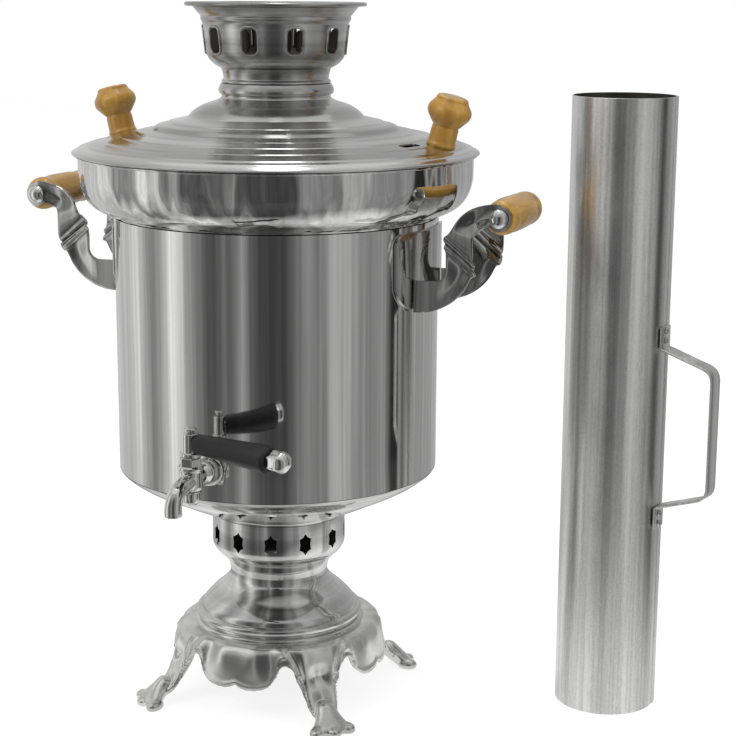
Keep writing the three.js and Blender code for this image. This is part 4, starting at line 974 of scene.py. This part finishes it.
cut_with(tap_form, swept("spout_bore", bore_path, BORE_RADIUS, 24), 50)
hand_over(tap_form, tap_chrome, "samovar", "tap_metal", "tap_body")

HUB_RISE, LEVER_RISE, LEVER_TURN = 16.3, 8.9, math.radians(-17)
hub_low = TAP_Z + HUB_RISE
plug_foot = bottom_of("tap_plug") - hub_low
plug_line = [
    (0, plug_foot), (2.8, plug_foot, 0.3), (2.8, -23.3, 0.2), (4.6, -23.3, 0.2), (4.6, 0, 0.2), (7.0, 0, 0.5),
    (7.0, 2.4, 0.7), (5.6, 2.5, 0.4), (5.6, 15.4, 0.6), (2.2, 15.4, 0.2), (2.2, 17.1), (0, 17.1),
]
cap_line = [
    (0, 0), (3.2, 0, 0.2), (3.2, 1.5, 0.2), (4.4, 1.6, 0.3), (4.4, 2.7, 0.4), (3.4, 3.3, 0.5), (0, 3.4),
]
nut_top = height_of("tap_tail_nut")
nut_line = [(0, 0), (3.9, 0, 0.6), (5.6, 2.2, 1.2), (5.6, nut_top, 0.4), (0, nut_top)]
for node, line, rise in (
    ("tap_plug", plug_line, hub_low),
    ("tap_cap_nut", cap_line, bottom_of("tap_cap_nut")),
    ("tap_tail_nut", nut_line, bottom_of("tap_tail_nut")),
):
    hand_over(on_key(f"{node}_skin", line, rise), tap_chrome, "tap_key", "tap_metal", node)

lever_way = polar(1, LEVER_TURN, 0)
lever_start = (0, plug_y, hub_low + LEVER_RISE)
lever_line = [(2.8, 6.0), (5.8, 6.0, 0.4), (6.7, 7.0, 0.7), (9.3, 67.6, 0.9), (7.8, 70, 0.7), (2.8, 70)]
lever = turned_along("tap_lever_skin", eased(lever_line), lever_start, lever_way, 96)
hand_over(lever, lever_black, "tap_key", "lever_black", "tap_lever")


def make_lever_ball():
    """A rounded six-sided nut with a domed end, as one bright ball, and the rod it sits on."""
    rod_radius, nut_foot, dome_foot = 2.4, 70.3, 78.2
    dome_radius, dome_rise = 7.3, 6.4
    stations = [(0, 2.6), (rod_radius, 2.6), (rod_radius, nut_foot), (5.8, nut_foot)]
    stations += [(7.0, 71.2), (7.5, 73.6), (7.4, 76.6), (6.9, dome_foot)]
    for angle in np.linspace(math.radians(8), math.pi / 2, 12):
        stations.append((dome_radius * math.cos(angle), dome_foot + dome_rise * math.sin(angle)))
    points = []
    steps = 72
    for turn in np.linspace(0, TURN, steps, endpoint=False):
        for radius, along in stations:
            on_nut = radius > 5 and along < 78
            facet = 0.1 * abs(math.cos(3 * turn)) if on_nut else 0.03 * math.cos(6 * turn)
            points.append(polar(radius * (1 - facet), turn, along))
    faces = grid_faces(steps, len(stations), True, False)
    return aimed(new_piece("tap_lever_ball_skin", points, faces, ORIGIN), lever_start, lever_way)


hand_over(make_lever_ball(), tap_chrome, "tap_key", "tap_metal", "tap_lever_ball")

# Handles

GRIP_OUT, GRIP_UP = 175.0, wall_top + 9.3
BAND_OUTER, BAND_INNER = 157.5, 136.7
ARM_SIDE, EYE_SIDE = 29.0, 34.0
EYE_RADIUS = 8.7
OUTER_BEND, INNER_BEND = 41, 8.3


def arc(centre, radius, first, last, count):
    angles = np.radians(np.linspace(first, last, count))
    return [np.add(centre, polar(radius, angle)) for angle in angles]


def quadratic(start, control, end, count):
    start, control, end = map(np.array, (start, control, end))
    return [(1 - s) ** 2 * start + 2 * s * (1 - s) * control + s * s * end for s in np.linspace(0, 1, count)]


def arm_stations():
    """Near edge, far edge and sideways place of the arm's sheet, from the wall to the grip's eye."""
    root = math.sqrt(117.3**2 - ARM_SIDE**2) + 0.6
    stations = [((root, wall_top - 58.2), (root, wall_top - 36.2), ARM_SIDE)]
    outer_bend = arc((BAND_OUTER - OUTER_BEND, wall_top - 17.2), OUTER_BEND, -80, -22, 5)
    inner_bend = arc((BAND_INNER - INNER_BEND, wall_top - 27.9), INNER_BEND, -90, 0, 5)
    stations += [(near, far, ARM_SIDE) for near, far in zip(outer_bend, inner_bend)]
    for rise, side, taper in ((0, 29.0, 0), (3.6, 32.75, 0), (6.2, 30.75, 0), (10.5, 35.5, 0.9)):
        foot = wall_top - 31.2 + rise
        stations.append(((BAND_OUTER, foot), (BAND_INNER + taper, foot + 16), side))
    top = wall_top - 6.2
    near_curl = quadratic((BAND_OUTER, top), (BAND_OUTER + 1, top + 8), (GRIP_OUT - 6, GRIP_UP - 6.0), 4)
    curl_start, curl_middle = (BAND_INNER + 4.5, top + 4.5), (BAND_INNER + 11, GRIP_UP + 7.0)
    far_curl = quadratic(curl_start, curl_middle, (GRIP_OUT - 3, GRIP_UP + 9.6), 4)
    stations += list(zip(near_curl, far_curl, (35.6, 33.6, 33.0, 34.0)))
    near_eye = arc((GRIP_OUT, GRIP_UP), EYE_RADIUS, -105, -15, 4)
    far_eye = arc((GRIP_OUT, GRIP_UP), EYE_RADIUS, 80, 15, 4)
    return stations + [(near, far, EYE_SIDE) for near, far in zip(near_eye, far_eye)]


def arm_sheet(name, side, turn, columns=11):
    """A pleated arm between its two edges, with a belly below the pleat and a valley in the curl."""
    near, far = [smooth_line([(*s[edge], s[2]) for s in arm_stations()], 5) for edge in (0, 1)]
    shares = np.linspace(0, 1, len(near))
    bellies = np.interp(shares, (0.1, 0.3, 0.45, 0.6, 0.68, 0.78), (0, 1.8, 0, 0, 3.0, 0))
    across = np.linspace(0, 1, columns)
    valley = np.interp(across, (0, 0.45, 1), (0, 1, 0))
    points = []
    for a, b, belly in zip(near, far, bellies):
        for share, depth in zip(across, valley):
            out, up, sideways = (1 - share) * a + share * b
            points.append((turn * out, turn * side * (sideways - belly * depth), up))
    piece = new_piece(name, points, grid_faces(len(near), columns, False, False))
    add_modifier(piece, "SOLIDIFY", thickness=0.002, offset=0.0)
    return bevelled(piece, width=0.0005, angle=50, sharp=50)


def plate_on_wall(name, turn):
    """A lug plate with rounded corners, cut from a ring round the wall."""
    low, inner, thickness = wall_top - 70, TANK_RADIUS + GAP, 2.0
    outer = inner + thickness
    hoop = turned(name, [(inner, low), (outer, low), (outer, wall_top), (inner, wall_top)], 288)
    outline = rounded_box(46, wall_top - 56.2, wall_top - 4.2, 18, 8, 9)
    block = faced(prism("plate_block", outline, near=60, far=140), turn * math.pi / 2)
    cut_with(hoop, block, operation="INTERSECT")
    return bevelled(hoop, width=0.0006, angle=50, sharp=40)


GRIP_HALF, GRIP_RADIUS = 32.7, 12.15
grip_ends = [
    (9.2, GRIP_HALF, 0.8), (11.4, 30.2, 1.8), (11.9, 25.5, 2.0), (11.2, 20.3, 1.5), (GRIP_RADIUS, 11.8, 3.0),
]
grip_line = [(0, -GRIP_HALF)] + [(r, -z, ease) for r, z, ease in grip_ends] + [(GRIP_RADIUS, 0, 3.0)]
grip_line += grip_ends[::-1] + [(0, GRIP_HALF)]
DOME_FOOT, DOME_RIM, DOME_RADIUS, DOME_RISE = 35.3, 35.7, 6.6, 5.0
dome_section = [(0, DOME_FOOT), (DOME_RADIUS, DOME_FOOT)]
for angle in np.linspace(0, math.pi / 2, 14):
    dome_section.append((DOME_RADIUS * math.cos(angle), DOME_RIM + DOME_RISE * math.sin(angle)))
for turn, word in ((1, "right"), (-1, "left")):
    plate = plate_on_wall(f"handle_plate_{word}_skin", turn)
    hand_over(plate, strap_sheet, "samovar", "polished_sheet", f"handle_plate_{word}")
    centre = (turn * GRIP_OUT, 0, GRIP_UP)
    grip = turned_along(f"handle_grip_{word}_skin", eased(grip_line), centre, (0, 1, 0), 96)
    hand_over(grip, grip_wood, "samovar", "turned_wood", f"handle_grip_{word}")
    for side, end in ((-turn, "front"), (turn, "rear")):
        arm = arm_sheet(f"handle_arm_{word}_{end}_skin", side, turn)
        hand_over(arm, strap_sheet, "samovar", "polished_sheet", f"handle_arm_{word}_{end}")
        nut = turned_along(f"handle_nut_{word}_{end}_skin", dome_section, centre, (0, turn * side, 0), 48)
        hand_over(nut, tap_chrome, "samovar", "tap_metal", f"handle_nut_{word}_{end}")

# Draught pipe with its lock seam, and its strap handle

PIPE_WALL = 0.8
SEAM_RISE = 0.8
SEAM_ANGLE = math.radians(6)
SEAM_HALF = 6.0 / PIPE_RADIUS
pipe_top = top_of("pipe_tube")
seam_turns = SEAM_ANGLE + SEAM_HALF * np.array([-1, -0.94, -0.88, -0.4, 0.4, 0.88, 0.94, 1])
pipe_turns = np.sort(np.concatenate([np.linspace(0, TURN, 192, endpoint=False), seam_turns % TURN]))


def pipe_contour(turn):
    """The pipe's outer radius, larger over the seam."""
    away = abs((turn - SEAM_ANGLE + math.pi) % TURN - math.pi)
    return PIPE_RADIUS + SEAM_RISE * np.clip((SEAM_HALF - away) / (0.12 * SEAM_HALF), 0, 1)


def outside(z, shift=0.0):
    return [polar(pipe_contour(turn) + shift, turn, z) for turn in pipe_turns]


def inside(z):
    return [polar(PIPE_RADIUS - PIPE_WALL, turn, z) for turn in pipe_turns]


rises = (40.0, 220.0, 400.0)
pipe_rows = [inside(0.0), outside(0.0, -0.2), outside(0.3), *map(outside, rises)]
pipe_rows += [outside(pipe_top - 0.3), outside(pipe_top, -0.2), inside(pipe_top), *map(inside, rises[::-1])]
pipe = new_piece("pipe_tube_skin", pipe_rows, grid_faces(len(pipe_rows), len(pipe_turns)), PIPE_AXIS, 30)
hand_over(pipe, pipe_sheet, "draught_pipe", "pipe_sheet", "pipe_tube")
paint_shade_inside(pipe, PIPE_AXIS)

STRAP_HALF_WIDTH, STRAP_THICKNESS, STRAP_TURN = 7.5, 1.6, math.radians(-12)
strap_in = PIPE_RADIUS + GAP
strap_far = strap_in + 38.5
strap_bend = strap_far - 3.4
strap_corners = [
    (strap_in, 283), (strap_in, 267, 1.5), (strap_bend, 255.6, 4.5), (strap_far, 251, 4.0),
    (strap_far, 169, 4.0), (strap_bend, 164.4, 4.5), (strap_in, 153, 1.5), (strap_in, 137),
]
loop = sheet_section(eased(strap_corners, steps=8), STRAP_THICKNESS)
to_strap = Matrix.Rotation(STRAP_TURN, 3, "Z")
strap_points = []
for y in (-STRAP_HALF_WIDTH, STRAP_HALF_WIDTH):
    strap_points += [to_strap @ Vector((out, y, z)) for out, z in loop]
count = len(loop)
strap_faces = [(k, (k + 1) % count, count + (k + 1) % count, count + k) for k in range(count)]
for k in range(count // 2 - 1):
    strap_faces.append((k, k + 1, count - 2 - k, count - 1 - k))
    strap_faces.append((count + k, 2 * count - 1 - k, 2 * count - 2 - k, count + k + 1))
strap = new_piece("pipe_handle_skin", strap_points, strap_faces, PIPE_AXIS)
bevelled(strap, width=0.0004, angle=60, sharp=45)
hand_over(strap, pipe_sheet, "draught_pipe", "pipe_sheet", "pipe_handle")

# Solids that stay as they are get a finish of their own

kept_finishes = {
    "fire_grate": grate_iron,
    "tap_gasket": gasket_rubber,
    "tap_tail_washer": tap_chrome,
}
for start in ("base_screw", "tap_lock_nut", "handle_rod", "lid_knob_screw", "lid_knob_washer", "pipe_rivet"):
    kept_finishes[start] = nut_metal
for node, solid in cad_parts.items():
    for start, finish in kept_finishes.items():
        if node.startswith(start):
            for held in solid.material_slots:
                held.material = finish

# Studio: pale floor, soft lamps, and the cards that the metal mirrors

# The camera looks along the ground direction AWAY, and RIGHT is its right-hand side
AWAY = Vector((-0.3584, 0.9336, 0))
RIGHT = Vector((0.9336, 0.3584, 0))
WHITE = (1, 1, 1, 1)

# Bearing of each card in degrees, from the camera's side towards its right, and its light
CARDS = [
    (-180, 0.62), (-118, 0.66), (-106, 0.86), (-99, 0.60), (-90, 0.28), (-80, 0.50), (-72, 0.98),
    (-66, 0.92), (-59, 0.42), (-44, 0.13), (-38, 0.10), (-33, 0.20), (-27, 0.15), (-19, 0.36),
    (-14, 0.14), (-8, 0.07), (8, 0.06), (14, 0.17), (20, 0.29), (33, 0.24), (39, 0.49), (50, 0.46),
    (60, 0.28), (79, 0.30), (84, 0.03), (92, 0.02), (98, 0.30), (180, 0.55),
]


def make_studio_cards():
    """The light of the studio's upright cards, by bearing round the samovar."""
    tree, given = make_tree("studio cards", {"Axis": "Vector"}, ["Level"])
    point = here(tree)
    local = vectors(tree, "SUBTRACT", point, given["Axis"])
    across = vectors(tree, "DOT_PRODUCT", local, tuple(RIGHT), output="Value")
    towards = vectors(tree, "DOT_PRODUCT", local, tuple(-AWAY), output="Value")
    bearing = maths(tree, "ARCTAN2", across, towards)
    ramp = place(tree, "ShaderNodeValToRGB", {"Fac": maths(tree, "MULTIPLY_ADD", bearing, 1 / TURN, 0.5)})
    stops = ramp.color_ramp.elements
    while len(stops) > 1:
        stops.remove(stops[0])
    for number, (angle, level) in enumerate(CARDS):
        stop = stops[0] if number == 0 else stops.new(angle / 360 + 0.5)
        stop.position = angle / 360 + 0.5
        stop.color = (level, level, level, 1)
    around = put(tree, "ShaderNodeCombineXYZ", {0: maths(tree, "MULTIPLY", bearing, 7.0)})
    folds = spread(tree, noise(tree, around, 3.0, 5.0, 0.75), 0.3, 0.7, 0.58, 1.42)
    lower = maths(tree, "MULTIPLY", ramp.outputs[0], folds)
    height = place(tree, "ShaderNodeSeparateXYZ", {0: point}).outputs["Z"]
    rise = spread(tree, height, 0.55, 0.85, 0.0, 0.7)
    upper = maths(tree, "SUBTRACT", 0.5, lower)
    place(tree, "NodeGroupOutput", {"Level": maths(tree, "MULTIPLY_ADD", upper, rise, lower)})
    return tree


studio_cards = make_studio_cards()


def stage_material(name):
    material = bpy.data.materials.new(name)
    material.use_nodes = True
    material.node_tree.nodes.clear()
    return material, material.node_tree


def cards_level(tree):
    return put(tree, "ShaderNodeGroup", {"Axis": tuple(SAMOVAR_AXIS)}, node_tree=studio_cards)


def glowing(tree, strength, kind="ShaderNodeEmission"):
    return put(tree, kind, {"Color": WHITE, "Strength": strength})


def matt(tree, level):
    return put(tree, "ShaderNodeBsdfDiffuse", {"Color": (level, level, level, 1)})


def rays(tree):
    """Whether the camera sees the surface, straight or through glass, and whether a reflection does."""
    seen = place(tree, "ShaderNodeLightPath").outputs
    return maths(tree, "MAXIMUM", seen["Is Camera Ray"], seen["Is Transmission Ray"]), seen["Is Glossy Ray"]


def stage_piece(name, points, faces, material):
    mesh = bpy.data.meshes.new(name)
    mesh.from_pydata(points, [], faces)
    mesh.materials.append(material)
    piece = linked(name, mesh)
    return piece


def make_floor(far=6.0):
    """White to the camera, a soft echo of the cards to the metal, and a pale matt floor to the light."""
    material, tree = stage_material("pale floor")
    picture, reflected = rays(tree)
    pale = put(tree, "ShaderNodeAddShader", {0: matt(tree, 0.3), 1: glowing(tree, 0.82)})
    point = here(tree)
    reach = vectors(tree, "DISTANCE", point, tuple(SAMOVAR_AXIS), output="Value")
    pipe_reach = vectors(tree, "DISTANCE", point, tuple(PIPE_AXIS), output="Value")
    strength = spread(tree, reach, 0.3, 0.6, 0.55, 0.95)
    near_samovar = spread(tree, reach, 0.2, 0.34, 0.46, 0.02)
    near_pipe = spread(tree, pipe_reach, 0.12, 0.4, 0.7, 0.0)
    bright = maths(tree, "MAXIMUM", near_samovar, near_pipe)
    echo = maths(tree, "MULTIPLY_ADD", cards_level(tree), strength, bright)
    first = put(tree, "ShaderNodeMixShader", {0: picture, 1: matt(tree, 0.8), 2: pale})
    mixed = put(tree, "ShaderNodeMixShader", {0: reflected, 1: first, 2: glowing(tree, echo)})
    place(tree, "ShaderNodeOutputMaterial", {0: mixed})
    corners = [(-far, -far, 0), (far, -far, 0), (far, far, 0), (-far, far, 0)]
    stage_piece("floor", corners, [(0, 1, 2, 3)], material)


def make_cards(radius=0.8, top=1.35, steps=120):
    """The ring of cards, which only mirror reflections see."""
    material, tree = stage_material("studio cards")
    place(tree, "ShaderNodeOutputMaterial", {0: glowing(tree, cards_level(tree))})
    points = []
    for angle in np.linspace(0, TURN, steps, endpoint=False):
        spot = SAMOVAR_AXIS + Vector(polar(radius, angle, 0))
        points += [(spot.x, spot.y, -0.001), (spot.x, spot.y, top)]
    faces = [(2 * i, 2 * ((i + 1) % steps), 2 * ((i + 1) % steps) + 1, 2 * i + 1) for i in range(steps)]
    cards = stage_piece("studio_cards", points, faces, material)
    cards.visible_camera = False
    cards.visible_diffuse = False
    cards.visible_transmission = False
    cards.visible_shadow = False


def make_world():
    """A soft grey surround that is white to the camera and a little brighter in reflections."""
    world = bpy.data.worlds.new("studio")
    bpy.context.scene.world = world
    world.use_nodes = True
    tree = world.node_tree
    tree.nodes.clear()
    picture, reflected = rays(tree)
    strength = maths(tree, "MULTIPLY_ADD", picture, 0.42, 0.58)
    strength = maths(tree, "MULTIPLY_ADD", reflected, 0.12, strength)
    place(tree, "ShaderNodeOutputWorld", {0: glowing(tree, strength, "ShaderNodeBackground")})


def lamp(name, across, back, height, size, power, mirrored=True, length=None):
    """A soft lamp placed to the camera's right, towards the camera's side and above, aimed at the wall."""
    light = bpy.data.lights.new(name, "AREA")
    light.shape = "RECTANGLE"
    light.size = size
    light.size_y = length or size
    light.energy = power
    piece = linked(name, light)
    piece.location = SAMOVAR_AXIS + RIGHT * across - AWAY * back + Vector((0, 0, height))
    piece.rotation_mode = "QUATERNION"
    towards = SAMOVAR_AXIS + Vector((0, 0, 0.25)) - piece.location
    piece.rotation_quaternion = towards.to_track_quat("-Z", "Y")
    piece.visible_glossy = mirrored


def set_camera():
    """The photograph's view: from the front right, a little above the lid."""
    sensor, focal_pixels, picture_pixels = 36, 1765.4, 736
    back, side, height = 1.25, 0.0667, 0.515
    data = bpy.data.cameras.new("camera")
    data.sensor_width = sensor
    data.lens = focal_pixels / picture_pixels * sensor
    camera = linked("camera", data)
    camera.location = SAMOVAR_AXIS - AWAY * back + RIGHT * side + Vector((0, 0, height))
    pan, pitch, roll = math.radians(0.065), math.radians(12.27), math.radians(0.3)
    ahead = Matrix.Rotation(pan, 3, "Z") @ AWAY.normalized()
    view = ahead * math.cos(pitch) - Vector((0, 0, math.sin(pitch)))
    right = Vector((ahead.y, -ahead.x, 0))
    up = right.cross(view)
    level_right = right * math.cos(roll) + up * math.sin(roll)
    level_up = up * math.cos(roll) - right * math.sin(roll)
    camera.rotation_mode = "QUATERNION"
    camera.rotation_quaternion = Matrix((level_right, level_up, -view)).transposed().to_quaternion()
    data.clip_start, data.clip_end = 0.05, 50
    bpy.context.scene.camera = camera


make_floor()
make_cards()
make_world()
lamp("key softbox", -1.3, 1.1, 1.5, 0.9, 13)
lamp("fill softbox", 1.6, 0.8, 1.2, 0.8, 6)
lamp("overhead softbox", 0.1, 0.2, 1.9, 1.0, 9, mirrored=False)
lamp("high back strip", -0.01, -0.45, 1.7, 0.22, 3.0, length=1.3)
set_camera()
bpy.context.scene.view_settings.view_transform = "Standard"
